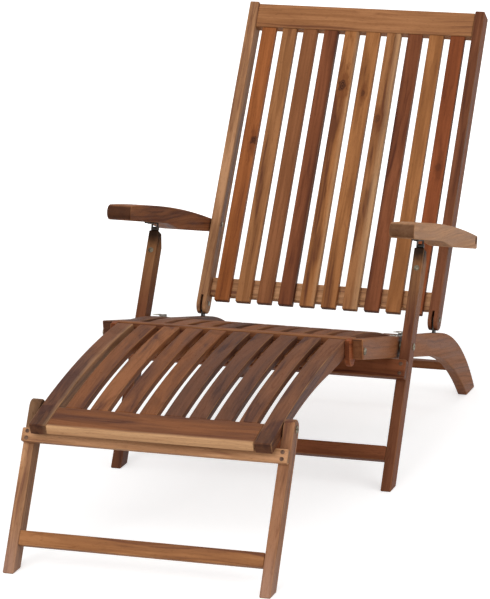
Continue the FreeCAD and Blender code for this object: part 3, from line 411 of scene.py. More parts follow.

# %% [markdown]
# ## Darker wood round the steel
# The wood is darker round a point, such as a hinge or a bolt, darkest next to it, and the
# darkening fades out within a few centimetres.

# %% Darkening group
DARK_PATCH_COLOUR = srgb(30, 18, 12)
DARK_PATCH_EDGE_CLOUDS = (150, 150, 60)
DARKEST_PATCH = 0.92

dark_patch_group, given, result = new_group(
    "dark_patch",
    [("Centre", "Vector", (0, 0, 0)), ("Reach", "Float", 0.02)],
    [("Darkening", "Float")])
tree = dark_patch_group
place = add(tree, "TexCoord").outputs["Object"]
gap = vector_calc(tree, "LENGTH", vector_calc(tree, "SUBTRACT", place, given.outputs["Centre"]))
spread = calc(tree, "MULTIPLY_ADD", noise(tree, place, DARK_PATCH_EDGE_CLOUDS)["Fac"], 0.5, 0.75)
share = calc(tree, "MULTIPLY", calc(tree, "DIVIDE", gap, given.outputs["Reach"]), spread)
fill(tree, result.inputs["Darkening"], ramp(tree, share, 1.0, 0.35, 0.0, DARKEST_PATCH))
print("group", dark_patch_group.name)

# %% [markdown]
# ## Wood colours
# The boards of such a chair range from honey to nearly purple brown. Each tint is the middle
# colour of a board. Its darker and lighter wood is worked out from it, because in such wood
# the dark bands are redder and the light ones paler.

# %% Wood colours
TINTS = {
    "honey": (148, 95, 54),
    "blond": (153, 102, 64),
    "tan": (146, 96, 58),
    "fawn": (137, 93, 64),
    "orange": (146, 84, 44),
    "red": (130, 69, 38),
    "russet": (121, 69, 42),
    "brown": (132, 82, 50),
    "cocoa": (112, 66, 42),
    "dusk": (101, 58, 35),
    "pale": (168, 121, 84),
    "straw": (190, 140, 98),
    "chestnut": (118, 71, 42),
    "mauve": (110, 69, 46),
    "umber": (98, 61, 42),
}
KNOT_COLOUR = srgb(50, 25, 18)
HALO_COLOUR = srgb(104, 52, 26)
SAPWOOD = (200, 156, 114)
HEARTWOOD = (70, 36, 25)
PORE_COLOUR = srgb(54, 28, 16)
VEIN_TINT = srgb(168, 140, 130)
# The lighter edges' colour: worn wood, and a painted highlight.
WORN_AND_HIGHLIGHT_COLOUR = srgb(186, 140, 98)
DARK_WOOD = (0.72, 0.65, 0.7)
LIGHT_WOOD = (1.15, 1.19, 1.25)


def shaded(colour, factors):
    return srgb(*(part * factor for part, factor in zip(colour, factors)))


def shades(tint):
    """The dark, middle and light wood of a board."""
    colour = TINTS[tint]
    return shaded(colour, DARK_WOOD), srgb(*colour), shaded(colour, LIGHT_WOOD)


print(len(TINTS), "tints")

# %% [markdown]
# ## From grain to colour
# Bands, rings and streaks are added up to one measure of how light the wood is at a point, and
# three colours are spread along that measure. The more contrast a board has, the further its
# bands reach to the dark and light ends. Marks, such as pores, knots or darker patches, lie over
# that colour.

# %% From grain to colour
MIDDLE_LEVEL = 0.58
RING_SHARE = -0.3
STREAK_SHARE = 0.32
DARK_TO_MIDDLE = (0.0, 0.55)
MIDDLE_TO_LIGHT = (0.5, 1.05)
VEIN_SHARE = 0.12


def slat_tones(tree, share, tints):
    """The dark, middle and light wood of a shared piece, with one tint for each slat."""
    tones = []
    for part in range(3):
        node = add(tree, "ValToRGB", None, Fac=share)
        node.color_ramp.interpolation = "CONSTANT"
        stops = node.color_ramp.elements
        while len(stops) < len(tints):
            stops.new(1.0)
        for index, tint in enumerate(tints):
            stops[index].position = index / len(tints)
            stops[index].color = shades(tint)[part]
        tones.append(node.outputs["Color"])
    return tones


def grain_colour(tree, grain, tones, contrast):
    """The wood's colour, before any marks."""
    dark, middle, light = tones
    level = calc(tree, "MULTIPLY_ADD", grain["Bands"], contrast, MIDDLE_LEVEL - contrast / 2)
    level = calc(tree, "MULTIPLY_ADD", grain["Rings"], RING_SHARE - 0.25 * contrast, level)
    level = calc(tree, "MULTIPLY_ADD", grain["Streaks"], STREAK_SHARE, level)
    colour = mix(tree, ramp(tree, level, *DARK_TO_MIDDLE), dark, middle)
    colour = mix(tree, ramp(tree, level, *MIDDLE_TO_LIGHT), colour, light)
    veined = calc(tree, "MULTIPLY", grain["Veins"], VEIN_SHARE + 0.32 * contrast)
    return mix(tree, veined, colour, VEIN_TINT, "MULTIPLY")


def mark(tree, colour, mask, share, mark_colour):
    """Lay another colour over the wood where a mask says so."""
    return mix(tree, calc(tree, "MULTIPLY", mask, share), colour, mark_colour)


print("light honey wood:", [round(value, 3) for value in shades("honey")[2][:3]])

# %% [markdown]
# ## The wood material
# One function makes the material of a board from its tint, its lean and its own seed, so no
# two boards look alike. The pith says where in the trunk the board was sawn, and the spacing
# how far its rings lie apart, both in metres. Edge says how strongly its edges are lightened by
# wear and a painted highlight, and end how strongly its ends are darkened. Roughness and bump
# come from the same grain as the colour, as on real wood: a pore is darker, rougher and lower
# than the wood beside it.

# %% The wood's axes and surface
WOOD_GLOSS = 0.1
GRAIN_DEPTH = 0.0003


def board_point(place, lean, crosswise):
    """A place on the chair, in metres, written in the board's own axes."""
    turned = Matrix.Rotation(-lean, 3, "X") @ Vector(place)
    return (turned.z, turned.y, turned.x) if crosswise else tuple(turned)


def wood_surface(tree, shader, grain, worn_and_highlit):
    """Roughness, gloss and bump."""
    rough = calc(tree, "MULTIPLY_ADD", grain["Pores"], 0.2,
                 ramp(tree, grain["Bands"], 0.0, 1.0, 0.5, 0.62))
    fill(tree, shader.inputs["Roughness"], calc(tree, "MULTIPLY_ADD", worn_and_highlit["Edge"], 0.1, rough))
    shader.inputs["Specular IOR Level"].default_value = WOOD_GLOSS
    height = calc(tree, "SUBTRACT", calc(tree, "MULTIPLY", grain["Streaks"], 0.3),
                  calc(tree, "ADD", grain["Pores"], calc(tree, "MULTIPLY", grain["Rings"], 0.3)))
    bump = add(tree, "Bump", None, Strength=0.45, Distance=GRAIN_DEPTH, Height=height)
    fill(tree, shader.inputs["Normal"], bump.outputs[0])


print("the grain is up to", round(GRAIN_DEPTH * 1000, 1), "mm deep")

# %% Knots, strips and dark patches
HALO_SHARE = 0.6
STREAKS_IN_STRIP = 0.4


def bend_round(tree, place, knots):
    """Let the grain flow round knots. Returns the new place, and the knots with their masks."""
    bends = []
    for centre, radius, darkness in knots:
        bend = use(tree, knot_group, Place=place, Centre=centre, Radius=radius, Darkness=darkness)
        place = bend["Place"]
        bends.append(bend)
    return place, bends


def lay_strips(tree, colour, place, streaks, strips):
    """Lay strips of other wood: direction, start, end, colour and share of each."""
    for direction, start, end, strip_colour, share in strips:
        strip = use(tree, strip_group, Place=place, Across=direction, Start=start, End=end)
        streaky = calc(tree, "MULTIPLY_ADD", streaks, STREAKS_IN_STRIP * share,
                       (1 - STREAKS_IN_STRIP) * share)
        colour = mark(tree, colour, strip["Strip"], streaky, srgb(*strip_colour))
    return colour


def lay_knots(tree, colour, bends):
    for bend in bends:
        colour = mark(tree, colour, bend["Halo"], HALO_SHARE, HALO_COLOUR)
        colour = mix(tree, bend["Knot"], colour, KNOT_COLOUR)
    return colour


def lay_stains(tree, colour, stains):
    """Darken the wood round points: centre, reach and share of each."""
    for centre, reach, share in stains:
        stain = use(tree, dark_patch_group, Centre=centre, Reach=reach)
        colour = mark(tree, colour, stain["Darkening"], share, DARK_PATCH_COLOUR)
    return colour


print("streaks make up", STREAKS_IN_STRIP, "of a strip")

# %% Wood material
GRAIN_SWAY = 0.03
SLAT_SEED_STEP = 5.37
PORE_SHARE = 0.3


def wood(name, tint, lean=0.0, crosswise=False, seed=0.0, pith=(0.035, 0.05), spacing=0.009,
         contrast=0.7, edge=0.4, end=0.5, end_faces=(0.88, 0.97), knots=(), strips=(),
         stains=(), slats=None):
    """The material of one board, or of a row of slats if slats is (half width, count)."""
    material = bpy.data.materials.new(name)
    material.use_nodes = True
    tree = material.node_tree
    shader = tree.nodes["Principled BSDF"]
    axes = use(tree, axes_group, Lean=lean, Crosswise=float(crosswise))
    knots = [(board_point(spot, lean, crosswise), *look) for spot, *look in knots]
    place, bends = bend_round(tree, axes["Place"], knots)
    if slats:
        slat = use(tree, slat_group, Half_width=slats[0], Count=float(slats[1]))
        seed = calc(tree, "MULTIPLY_ADD", slat["Number"], SLAT_SEED_STEP, seed)
        tones = slat_tones(tree, slat["Share"], tint)
    else:
        tones = shades(tint)
    grain = use(tree, grain_group, Place=place, Seed=seed, Pith=(*pith, 0),
                Ring_spacing=spacing, Sway=GRAIN_SWAY)
    worn_and_highlit = use(tree, edge_wear_and_highlight_group, Place=axes["Place"], Facing=axes["Facing"], Seed=seed,
               End_from=end_faces[0], End_to=end_faces[1])
    colour = grain_colour(tree, grain, tones, contrast)
    colour = lay_strips(tree, colour, place, grain["Streaks"], strips)
    colour = mark(tree, colour, grain["Pores"], PORE_SHARE, PORE_COLOUR)
    colour = lay_knots(tree, colour, bends)
    # Darker patches round the hinges and bolts.
    colour = lay_stains(tree, colour, stains)
    # Lighter edges: wear, and a painted highlight.
    colour = mark(tree, colour, worn_and_highlit["Edge"], edge, WORN_AND_HIGHLIGHT_COLOUR)
    colour = mark(tree, colour, worn_and_highlit["End"], end, PORE_COLOUR)
    fill(tree, shader.inputs["Base Color"], colour)
    wood_surface(tree, shader, grain, worn_and_highlit)
    return material


print("the wood material is ready")

# %% [markdown]
# ## Dressing a piece
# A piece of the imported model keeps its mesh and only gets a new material. A board's lean is
# the turn about the chair's width that an upright board would need. For a row of slats that
# share a piece, the row is taken half a gap wider than its outer slats, so that each slat has
# an equal share of it.

# %% Dressing a piece
ACROSS = (1, 0, 0)
UP = (0, 1, 0)
ALONG = (0, 0, 1)
joints = {joint["name"]: Vector(joint["pos_m"]) for joint in frame["joints"]}


def lean_of(rise):
    """The lean of a board that rises towards the chair's back at an angle in degrees."""
    return math.radians(rise - 90)


def dress(node, material):
    """Give a piece of the chair its finish."""
    slots = nodes[node].data.materials
    slots.clear()
    slots.append(material)


def dress_board(node, tint, lean=0.0, crosswise=False, **details):
    dress(node, wood(node, tint, lean, crosswise, **details))


def slat_row(node, gap, count):
    """Half the width of a row of slats with half a gap at each end, and their number."""
    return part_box(node)[1][0] + gap / 2, count


print("the back turns about", [round(value, 3) for value in joints["back_fold"]])

# %% [markdown]
# ## The back
# Ten slats, two stiles and two rails lean back together. The photograph shows which slats
# are honey, orange or nearly red, and where the knots are, so these are set one by one. A
# knot's place is a distance across the chair and one up the slat from the hinge pin.

# %% Back
BACK_LEAN = lean_of(56.2)
BACK_PIN = joints["back_fold"]
SLAT_FACE = -0.015


def on_back(across, up):
    """A place on the front face of the back."""
    turn = Matrix.Rotation(BACK_LEAN, 3, "X")
    return BACK_PIN + turn @ Vector((across, SLAT_FACE, up))


BACK_SLATS = [
    # tint, seed, pith, ring spacing, contrast, knots, strips of other wood
    ("orange", 1.3, (-0.24, 0.03), 0.014, 0.45, [((-0.192, 0.356), 0.0055, 1.0)], []),
    ("tan", 2.9, (-0.10, 0.02), 0.008, 0.7, [], []),
    ("brown", 3.1, (-0.17, 0.06), 0.013, 0.4, [], []),
    ("russet", 4.7, (-0.02, 0.02), 0.012, 0.6, [],
     [(ACROSS, -0.061, -0.053, HEARTWOOD, 0.8)]),
    ("honey", 5.9, (-0.05, 0.03), 0.013, 1.1, [((-0.024, 0.487), 0.0075, 1.0)],
     [(ACROSS, -0.017, -0.008, SAPWOOD, 0.5)]),
    ("honey", 6.6, (0.07, 0.05), 0.011, 0.8, [((0.022, 0.474), 0.0042, 0.7)], []),
    ("tan", 7.4, (0.10, 0.02), 0.010, 1.1, [((0.062, 0.419), 0.005, 0.6)],
     [(ACROSS, 0.066, 0.078, SAPWOOD, 0.7)]),
    ("russet", 8.9, (0.05, 0.03), 0.011, 0.8, [],
     [(ACROSS, 0.106, 0.097, HEARTWOOD, 0.6)]),
    ("honey", 9.5, (0.20, 0.07), 0.015, 0.5, [], []),
    ("red", 10.1, (0.16, 0.03), 0.013, 0.5, [((0.203, 0.320), 0.005, 0.45)], []),
]
for index, row in enumerate(BACK_SLATS, start=1):
    tint, seed, pith, spacing, contrast, knots, strips = row
    knots = [(on_back(*spot), radius, darkness) for spot, radius, darkness in knots]
    dress_board(f"back_slat_{index:02d}", tint, BACK_LEAN, seed=seed, pith=pith,
                spacing=spacing, contrast=contrast, knots=knots, strips=strips)
print(len(BACK_SLATS), "back slats dressed")

# %% Frame of the back
dress_board("back_stile_left", "pale", BACK_LEAN, seed=11.2, pith=(-0.27, 0.02), contrast=0.8,
            strips=[(ACROSS, -0.232, -0.228, HEARTWOOD, 0.45)])
dress_board("back_stile_right", "cocoa", BACK_LEAN, seed=12.8, pith=(0.28, 0.03))
dress_board("back_top_rail", "blond", BACK_LEAN, True, seed=13.6, pith=(0.65, 0.2),
            spacing=0.012, contrast=0.6, strips=[(ALONG, -0.12, 0.14, (172, 120, 80), 0.5)])
dress_board("back_bottom_rail", "straw", BACK_LEAN, True, seed=14.1, pith=(0.1, 0.1))
print("frame of the back dressed")

# %% [markdown]
# ## The seat and its frame
# The seat's slats are sawn to a curve across their grain, so the lines run out of the
# surface where it dips. Its rails carry the rear legs in one bent piece.

# %% Seat
SEAT_LEAN = lean_of(-12.3)
SEAT_GAP = 0.0146
SEAT_TINTS = ["umber", "mauve", "chestnut", "chestnut", "umber", "chestnut", "mauve", "mauve",
              "chestnut", "mauve"]
seat_row = slat_row("seat_slats", SEAT_GAP, len(SEAT_TINTS))
dress_board("seat_slats", SEAT_TINTS, SEAT_LEAN, seed=20.3, pith=(0.0, 0.06), slats=seat_row)
dress_board("seat_nosing", "brown", 0, True, seed=21.4, pith=(0.2, 0.1))
for name, seed in (("seat_front_rail", 22.7), ("seat_rear_rail", 23.1), ("rear_stretcher", 24.6)):
    dress_board(name, "brown", 0, True, seed=seed)
dress_board("seat_rail_left", "umber", SEAT_LEAN, seed=25.2, pith=(-0.2, 0.1), end=0.9)
dress_board("seat_rail_right", "brown", SEAT_LEAN, seed=26.9, pith=(0.3, 0.1), contrast=0.35,
            end=0.9)
for side, seed in (("left", 27.5), ("right", 28.4)):
    dress_board(f"leg_rest_spacer_{side}", "red", SEAT_LEAN, seed=seed)
print("seat dressed; half its row of slats is", round(seat_row[0], 4), "m wide")

# %% [markdown]
# ## The uprights and the arms
# The uprights lean forward under the arms. Their wood is golden at the top, and nearly black
# at the hinge. The right arm is paler than the left, and the front ends of both show dark end
# grain.

# %% Uprights and arms
UPRIGHT_LEAN = lean_of(60)
ARM_RISE = -9.7
ARM_LEAN = lean_of(ARM_RISE)
ARM_HINGE = joints["armrest_left_fold"]
ARM_END = (0.3, 0.75)
GOLDEN = (146, 103, 66)
upright_x = (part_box("upright_right")[0][0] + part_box("upright_right")[1][0]) / 2
for side, sign, tint, seed in (("left", -1, "dusk", 30.6), ("right", 1, "cocoa", 31.9)):
    hinge = (sign * upright_x, ARM_HINGE.y, ARM_HINGE.z)
    top = board_point(hinge, UPRIGHT_LEAN, False)[2]
    dress_board(f"upright_{side}", tint, UPRIGHT_LEAN, seed=seed, pith=(sign * 0.3, 0.02),
                strips=[(ALONG, top - 0.17, top - 0.05, GOLDEN, 0.75)],
                stains=[(hinge, 0.042, 1.0)])
dress_board("stop_board", "russet", UPRIGHT_LEAN, True, seed=32.2)
dress_board("upright_lower_bar", "russet", UPRIGHT_LEAN, True, seed=33.7)
dress_board("armrest_left", "brown", ARM_LEAN, seed=34.5, pith=(-0.26, 0.12), contrast=1.0,
            end=0.85, end_faces=ARM_END)
dress_board("armrest_right", "pale", ARM_LEAN, seed=35.8, pith=(0.26, 0.12), contrast=0.4,
            end=0.72, end_faces=ARM_END)
print("uprights and arms dressed; the uprights stand at", round(upright_x, 3), "m")

# %% [markdown]
# ## The leg rest and its legs
# The leg rest has the coolest wood of the chair, with a light front edge. Its legs turn
# under it and are tied by two bars, and their feet are rubbed grey.

# %% Leg rest
REST_LEAN = lean_of(8.5)
FRONT_LEAN = REST_LEAN + math.pi / 2
REST_GAP = 0.013
REST_TINTS = ["chestnut", "brown", "chestnut", "chestnut", "umber", "umber", "umber", "mauve"]
rest_row = slat_row("leg_rest_slats", REST_GAP, len(REST_TINTS))
front_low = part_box("leg_rest_front_board")[0]
front_edge = board_point((0, front_low[1], front_low[2]), FRONT_LEAN, True)[1]
dress_board("leg_rest_slats", REST_TINTS, REST_LEAN, seed=40.4, pith=(0.0, 0.3),
            slats=rest_row, contrast=0.9)
rail_x = (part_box("leg_rest_rail_right")[0][0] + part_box("leg_rest_rail_right")[1][0]) / 2
rail_end = (front_low[1], front_low[2] + 0.02)
pale_inside = (ACROSS, -0.196, -0.189, SAPWOOD, 0.35)
# An edge of 0.65 paints a highlight along the rails' top outer edges, on top of their wear.
for side, sign, seed, strips in (("left", -1, 41.3, [pale_inside]), ("right", 1, 42.8, [])):
    dress_board(f"leg_rest_rail_{side}", "mauve", REST_LEAN, seed=seed, pith=(sign * 0.22, 0.33),
                contrast=1.0, edge=0.65, strips=strips,
                stains=[((sign * rail_x, *rail_end), 0.06, 0.4)])
dress_board("leg_rest_front_board", "chestnut", FRONT_LEAN, True, seed=43.5, pith=(0.3, -0.6),
            strips=[(UP, front_edge + 0.012, front_edge + 0.002, SAPWOOD, 1.0)])
dress_board("leg_rest_mid_board", "brown", 0, True, seed=44.9)
dress_board("leg_rest_rear_board", "brown", 0, True, seed=45.6)
print("leg rest dressed; its rails lie at", round(rail_x, 3), "m")

# %% Legs of the leg rest
LEG_LEAN = lean_of(61.5)
LEG_PIVOT = joints["leg_rest_legs_fold"]
GREY_FOOT = (170, 132, 112)
TO_FOOT = (0, 0, -1)
leg_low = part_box("leg_rest_leg_left")[0]
foot = -board_point((0, leg_low[1], leg_low[2]), LEG_LEAN, False)[2]
worn_foot = (TO_FOOT, foot - 0.11, foot, GREY_FOOT, 0.7)
left_pivot = (-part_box("leg_rest_leg_right")[0][0], LEG_PIVOT.y, LEG_PIVOT.z)
dress_board("leg_rest_leg_left", "pale", LEG_LEAN, seed=46.2, pith=(-0.25, -0.4), contrast=1.0,
            strips=[(ACROSS, -0.232, -0.224, HEARTWOOD, 0.5), worn_foot],
            stains=[(left_pivot, 0.09, 0.7)])
dress_board("leg_rest_leg_right", "fawn", LEG_LEAN, seed=47.7, pith=(0.25, -0.4), contrast=0.9,
            strips=[worn_foot])
# The crossbar's pale tint is partly painted light, lifting it out of the front board's shade.
dress_board("leg_crossbar", "pale", LEG_LEAN, True, seed=48.1)
dress_board("leg_lower_bar", "tan", LEG_LEAN, True, seed=49.4)
print("legs dressed; they turn about", [round(value, 3) for value in LEG_PIVOT])

# %% [markdown]
# ## Steel
# The hinges and the back's tongues are dark with tarnish, and the catch plates still show
# their zinc. The bolts have a brownish skin, and the screws in the cross bars have begun to
# rust. The group draws long fine scratches and cloudy tarnish.

# %% Steel
SCRATCH_CLOUDS = (2200, 160, 160)
TARNISH_CLOUDS = (170, 170, 170)
SCRATCH_DEPTH = 0.0001

steel_group, given, result = new_group(
    "steel_skin",
    [("Scratch scale", "Float", 1.0)],
    [("Scratches", "Float"), ("Tarnish", "Float")])
tree = steel_group
place = add(tree, "TexCoord").outputs["Object"]
lined = noise(tree, place, SCRATCH_CLOUDS, 3.0)["Fac"]
fill(tree, result.inputs["Scratches"], calc(tree, "MULTIPLY", ramp(tree, lined, 0.4, 0.7),
                                            given.outputs["Scratch scale"]))
clouds = noise(tree, place, TARNISH_CLOUDS, 4.0)["Fac"]
fill(tree, result.inputs["Tarnish"], ramp(tree, clouds, 0.42, 0.66))


def steel(name, bright, dull, rough, metal=0.9):
    material = bpy.data.materials.new(name)
    material.use_nodes = True
    tree = material.node_tree
    shader = tree.nodes["Principled BSDF"]
    skin = use(tree, steel_group, Scratch_scale=0.8)
    fill(tree, shader.inputs["Base Color"], mix(tree, skin["Tarnish"], srgb(*bright), srgb(*dull)))
    scratched = calc(tree, "MULTIPLY_ADD", skin["Scratches"], 0.12, rough)
    fill(tree, shader.inputs["Roughness"],
         calc(tree, "MULTIPLY_ADD", skin["Tarnish"], 0.2, scratched))
    shader.inputs["Metallic"].default_value = metal
    bump = add(tree, "Bump", None, Strength=0.3, Distance=SCRATCH_DEPTH, Height=skin["Scratches"])
    fill(tree, shader.inputs["Normal"], bump.outputs[0])
    return material


print("group", steel_group.name)

# %% Steel pieces
FINISHES = [
    (steel("plate_steel", (64, 60, 56), (34, 30, 28), 0.42),
     ["back_tang_left", "back_tang_right", "hinge_lower_leaves", "hinge_upper_leaf_left",
      "hinge_upper_leaf_right"]),
    (steel("zinc_steel", (168, 164, 156), (104, 98, 90), 0.36),
     ["catch_plate_left", "catch_plate_right"]),
    (steel("bolt_steel", (128, 118, 100), (76, 64, 50), 0.38),
     ["upright_pivot_nuts", "upright_washers", "leg_washers", "back_pivot_pins", "armrest_pegs",
      "upright_pivot_bolts", "leg_rest_pivot_bolts", "leg_pivot_bolts", "hinge_leaf_bolts",
      "catch_plate_screws", "hinge_leaf_screws_left", "hinge_leaf_screws_right"]),
    (steel("rusty_steel", (104, 74, 54), (72, 46, 32), 0.5, metal=0.3),
     ["stop_board_screws", "leg_crossbar_screws"]),
]
for finish, pieces in FINISHES:
    for node in pieces:
        dress(node, finish)
bare = [name for name, piece in nodes.items()
        if not piece.data.materials or not piece.data.materials[0].node_tree.nodes]
print("steel dressed; without a finish:", bare)

# %% [markdown]
# ## Where the screws and bolts are
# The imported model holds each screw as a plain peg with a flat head. Their places come from
# that model, so that nothing has to be measured twice: a row of screws is one piece, which is
# taken apart into its separate solids, and the middle line and the two ends of each are found.

# %% Places of the fasteners
MILLIMETRE = 0.001


def separate_solids(node):
    """The points of each solid of a piece."""
    shape = bmesh.new()
    shape.from_mesh(nodes[node].data)
    bmesh.ops.remove_doubles(shape, verts=shape.verts, dist=0.001 * MILLIMETRE)
    seen = set()
    solids = []
    for start in shape.verts:
        if start in seen:
            continue
        seen.add(start)
        found = [start]
        for vertex in found:
            for edge in vertex.link_edges:
                other = edge.other_vert(vertex)
                if other not in seen:
                    seen.add(other)
                    found.append(other)
        solids.append([vertex.co.copy() for vertex in found])
    shape.free()
    return solids


def set_out(points, outward):
    """A matrix that puts a head's top at the solid's outer end, and the solid's length."""
    turn = outward.to_track_quat("Z", "X").to_matrix()
    local = [turn.transposed() @ point for point in points]
    low = [min(point[axis] for point in local) for axis in range(3)]
    high = [max(point[axis] for point in local) for axis in range(3)]
    middle = Vector(((low[0] + high[0]) / 2, (low[1] + high[1]) / 2, high[2]))
    return Matrix.Translation(turn @ middle) @ turn.to_4x4(), (high[2] - low[2]) / MILLIMETRE


for node in ("stop_board_screws", "leg_rest_pivot_bolts"):
    print(node, len(separate_solids(node)), "solids")

# %% [markdown]
# ## Turned shapes with a sunk drive
# A screw or a bolt is turned: its shape is a stack of circles. The top is closed round the
# outline of the drive, a cross or a hexagon, and walls go down from that outline. All sizes
# here are in millimetres, with the top of the head at height 0.

# %% Turned shapes
def circle(radius, sides=32):
    return [(radius * math.cos(math.tau * step / sides), radius * math.sin(math.tau * step / sides))
            for step in range(sides)]


def ring(mesh, outline, height):
    return [mesh.verts.new((x, y, height)) for x, y in outline]


def wall(mesh, lower, upper):
    for here in range(len(lower)):
        after = (here + 1) % len(lower)
        mesh.faces.new((lower[here], lower[after], upper[after], upper[here]))


def stack(mesh, outlines):
    """Walls through (outline, height) pairs, closed at the first. Returns the last ring."""
    rings = [ring(mesh, outline, height) for outline, height in outlines]
    for lower, upper in zip(rings, rings[1:]):
        wall(mesh, lower, upper)
    mesh.faces.new(rings[0])
    return rings[-1]


def sink(mesh, rim, outline, height, depth, taper):
    """Close a rim round a drive that goes down by depth."""
    mouth = ring(mesh, outline, height)
    edges = []
    for loop in (rim, mouth):
        for first, second in zip(loop, loop[1:] + loop[:1]):
            edges.append(mesh.edges.get((first, second)) or mesh.edges.new((first, second)))
    bmesh.ops.triangle_fill(mesh, use_beauty=True, edges=edges, normal=(0, 0, 1))
    floor_ring = ring(mesh, [(x * taper, y * taper) for x, y in outline], height - depth)
    wall(mesh, mouth, floor_ring)
    mesh.faces.new(floor_ring)


def cross(reach, half):
    """The outline of a cross drive."""
    corner = [(reach, -half), (reach, half), (half, half)]
    outline = []
    for quarter in range(4):
        turn = Matrix.Rotation(quarter * math.pi / 2, 2)
        outline += [tuple(turn @ Vector(spot)) for spot in corner]
    return outline


CROSS = cross(1.75, 0.42)
print("a cross drive's outline has", len(CROSS), "corners")

# %% Screw, bolt and nut
def screw(mesh, length):
    """A pan-head screw with a cross drive and a pointed end."""
    shape = [(0.3, -length), (1.3, -length + 3.5), (2, -length + 5), (2, -1), (3.8, -1),
             (3.78, -0.75), (3.5, -0.4), (2.9, -0.12), (2.5, 0)]
    rim = stack(mesh, [(circle(radius), height) for radius, height in shape])
    sink(mesh, rim, CROSS, 0, 0.75, 0.6)


def bolt(mesh, length):
    """A bolt with a low domed head and a hexagon drive."""
    shape = [(2.6, -length), (3, -length + 0.4), (3, -2.5), (6.9, -2.5), (7, -2.3), (7, -1.5),
             (6.6, -0.85), (5.8, -0.35), (4.6, -0.05), (3.9, 0)]
    rim = stack(mesh, [(circle(radius), height) for radius, height in shape])
    sink(mesh, rim, circle(2.3, 6), 0, 1.4, 0.95)


def nut(mesh, length):
    """A hexagon nut with chamfered corners, closed by the bolt's end."""
    hexagon = circle(6, 6)
    chamfer = circle(5.2, 6)
    shape = [(chamfer, -length), (hexagon, -length + 0.5), (hexagon, -0.5), (chamfer, 0)]
    rim = stack(mesh, shape)
    sink(mesh, rim, circle(2.9), 0, 0.3, 0.97)


bolt_length = 50
trial = bmesh.new()
bolt(trial, bolt_length)
print("a bolt of", bolt_length, "mm has", len(trial.faces), "faces")
trial.free()

# %% [markdown]
# ## The screws and bolts
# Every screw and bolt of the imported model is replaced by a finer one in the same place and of
# the same size. Each row of them stays one piece that moves with its part of the chair. The
# two screws that hold the hinges in the posts sit in cup washers, which show as pale rings.

# %% One fastener
SHORTEST_BOLT = 10


def cup_washer(mesh):
    cup = [(3.9, -0.95), (5.4, -1), (5.3, -0.6), (4.7, -0.3), (4.0, -0.55)]
    stack(mesh, [(circle(radius), height) for radius, height in cup])


def bolt_or_nut(points):
    """Which of the two a solid across the chair is, and which way its outer end faces."""
    middle = sum(point.x for point in points) / len(points)
    reach = max(point.x for point in points) - min(point.x for point in points)
    if reach < SHORTEST_BOLT * MILLIMETRE:
        return nut, Vector((math.copysign(1, -middle), 0, 0))
    return bolt, Vector((math.copysign(1, middle), 0, 0))


def fastener(points, make, outward, washer):
    """The mesh of one screw, bolt or nut in its place."""
    place, length = set_out(points, outward)
    shape = bmesh.new()
    make(shape, length)
    if washer:
        cup_washer(shape)
    bmesh.ops.transform(shape, matrix=place @ Matrix.Scale(MILLIMETRE, 4), verts=shape.verts)
    bmesh.ops.recalc_face_normals(shape, faces=shape.faces)
    mesh = bpy.data.meshes.new("one_fastener")
    shape.to_mesh(mesh)
    shape.free()
    return mesh


print("a solid shorter than", SHORTEST_BOLT, "mm is a nut")

# %% A row of fasteners
HEAD_EDGE = math.radians(35)


def fastener_row(name, meshes):
    """Join the fasteners of a row in one object."""
    whole = bmesh.new()
    for one in meshes:
        whole.from_mesh(one)
        bpy.data.meshes.remove(one)
    mesh = bpy.data.meshes.new(name)
    whole.to_mesh(mesh)
    whole.free()
    mesh.shade_smooth()
    mesh.set_sharp_from_angle(angle=HEAD_EDGE)
    piece = bpy.data.objects.new(name, mesh)
    bpy.context.scene.collection.objects.link(piece)
    return piece


print("edges sharper than", round(math.degrees(HEAD_EDGE)), "degrees stay sharp")

# %% Screws and bolts
HINGE_FLAT_TILT = 3.13
ARM_FLAT_LEAN = math.radians(ARM_RISE - HINGE_FLAT_TILT)
FRONT = Vector((0, -1, 0))
TOP = Vector((0, 0, 1))
SIDEWAYS = None
FASTENERS = [
    # piece, body it moves with, lean, the way its heads face
    ("stop_board_screws", "uprights", UPRIGHT_LEAN, FRONT),
    ("hinge_leaf_bolts", "uprights", UPRIGHT_LEAN, FRONT),
    ("leg_crossbar_screws", "leg_rest_legs", LEG_LEAN, FRONT),
    ("hinge_leaf_screws_left", "armrest_left", ARM_FLAT_LEAN, -TOP),
    ("hinge_leaf_screws_right", "armrest_right", ARM_FLAT_LEAN, -TOP),
    ("catch_plate_screws", "seat_frame", SEAT_LEAN + math.pi / 2, TOP),
    ("upright_pivot_bolts", "uprights", 0, SIDEWAYS),
    ("leg_rest_pivot_bolts", "leg_rest", 0, SIDEWAYS),
    ("leg_pivot_bolts", "leg_rest_legs", 0, SIDEWAYS),
]
for node, body, lean, way in FASTENERS:
    meshes = []
    for points in separate_solids(node):
        if way is SIDEWAYS:
            make, outward = bolt_or_nut(points)
        else:
            make, outward = screw, Matrix.Rotation(lean, 3, "X") @ way
        meshes.append(fastener(points, make, outward, washer=node == "hinge_leaf_bolts"))
    piece = fastener_row(node + "_fine", meshes)
    piece.data.materials.append(nodes[node].data.materials[0])
    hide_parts(node)
    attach(piece, body)
    print(piece.name, len(meshes), "solids")

# %% [markdown]
# ## The studio
# A plain pale floor and large soft lamps, as in a catalogue. The floor and the world look
# white to the camera and in reflections, but they light the chair no more than a pale room
# would, and the floor keeps the chair's shadow.

# %% White where it is seen
def seen_directly(tree):
    """1 for rays from the camera, from mirrors and through glass."""
    path = add(tree, "LightPath").outputs
    return calc(tree, "MAXIMUM", calc(tree, "MAXIMUM", path["Is Camera Ray"],
                                      path["Is Glossy Ray"]), path["Is Transmission Ray"])


WHITE = (1, 1, 1, 1)
print("white is", WHITE)

# %% Floor
FLOOR_COLOUR = (0.8, 0.8, 0.8, 1)
FLOOR_REACH = 12
NEAR_GLOW = 0.59
GLOW_FROM = 0.9
GLOW_TO = 3.0

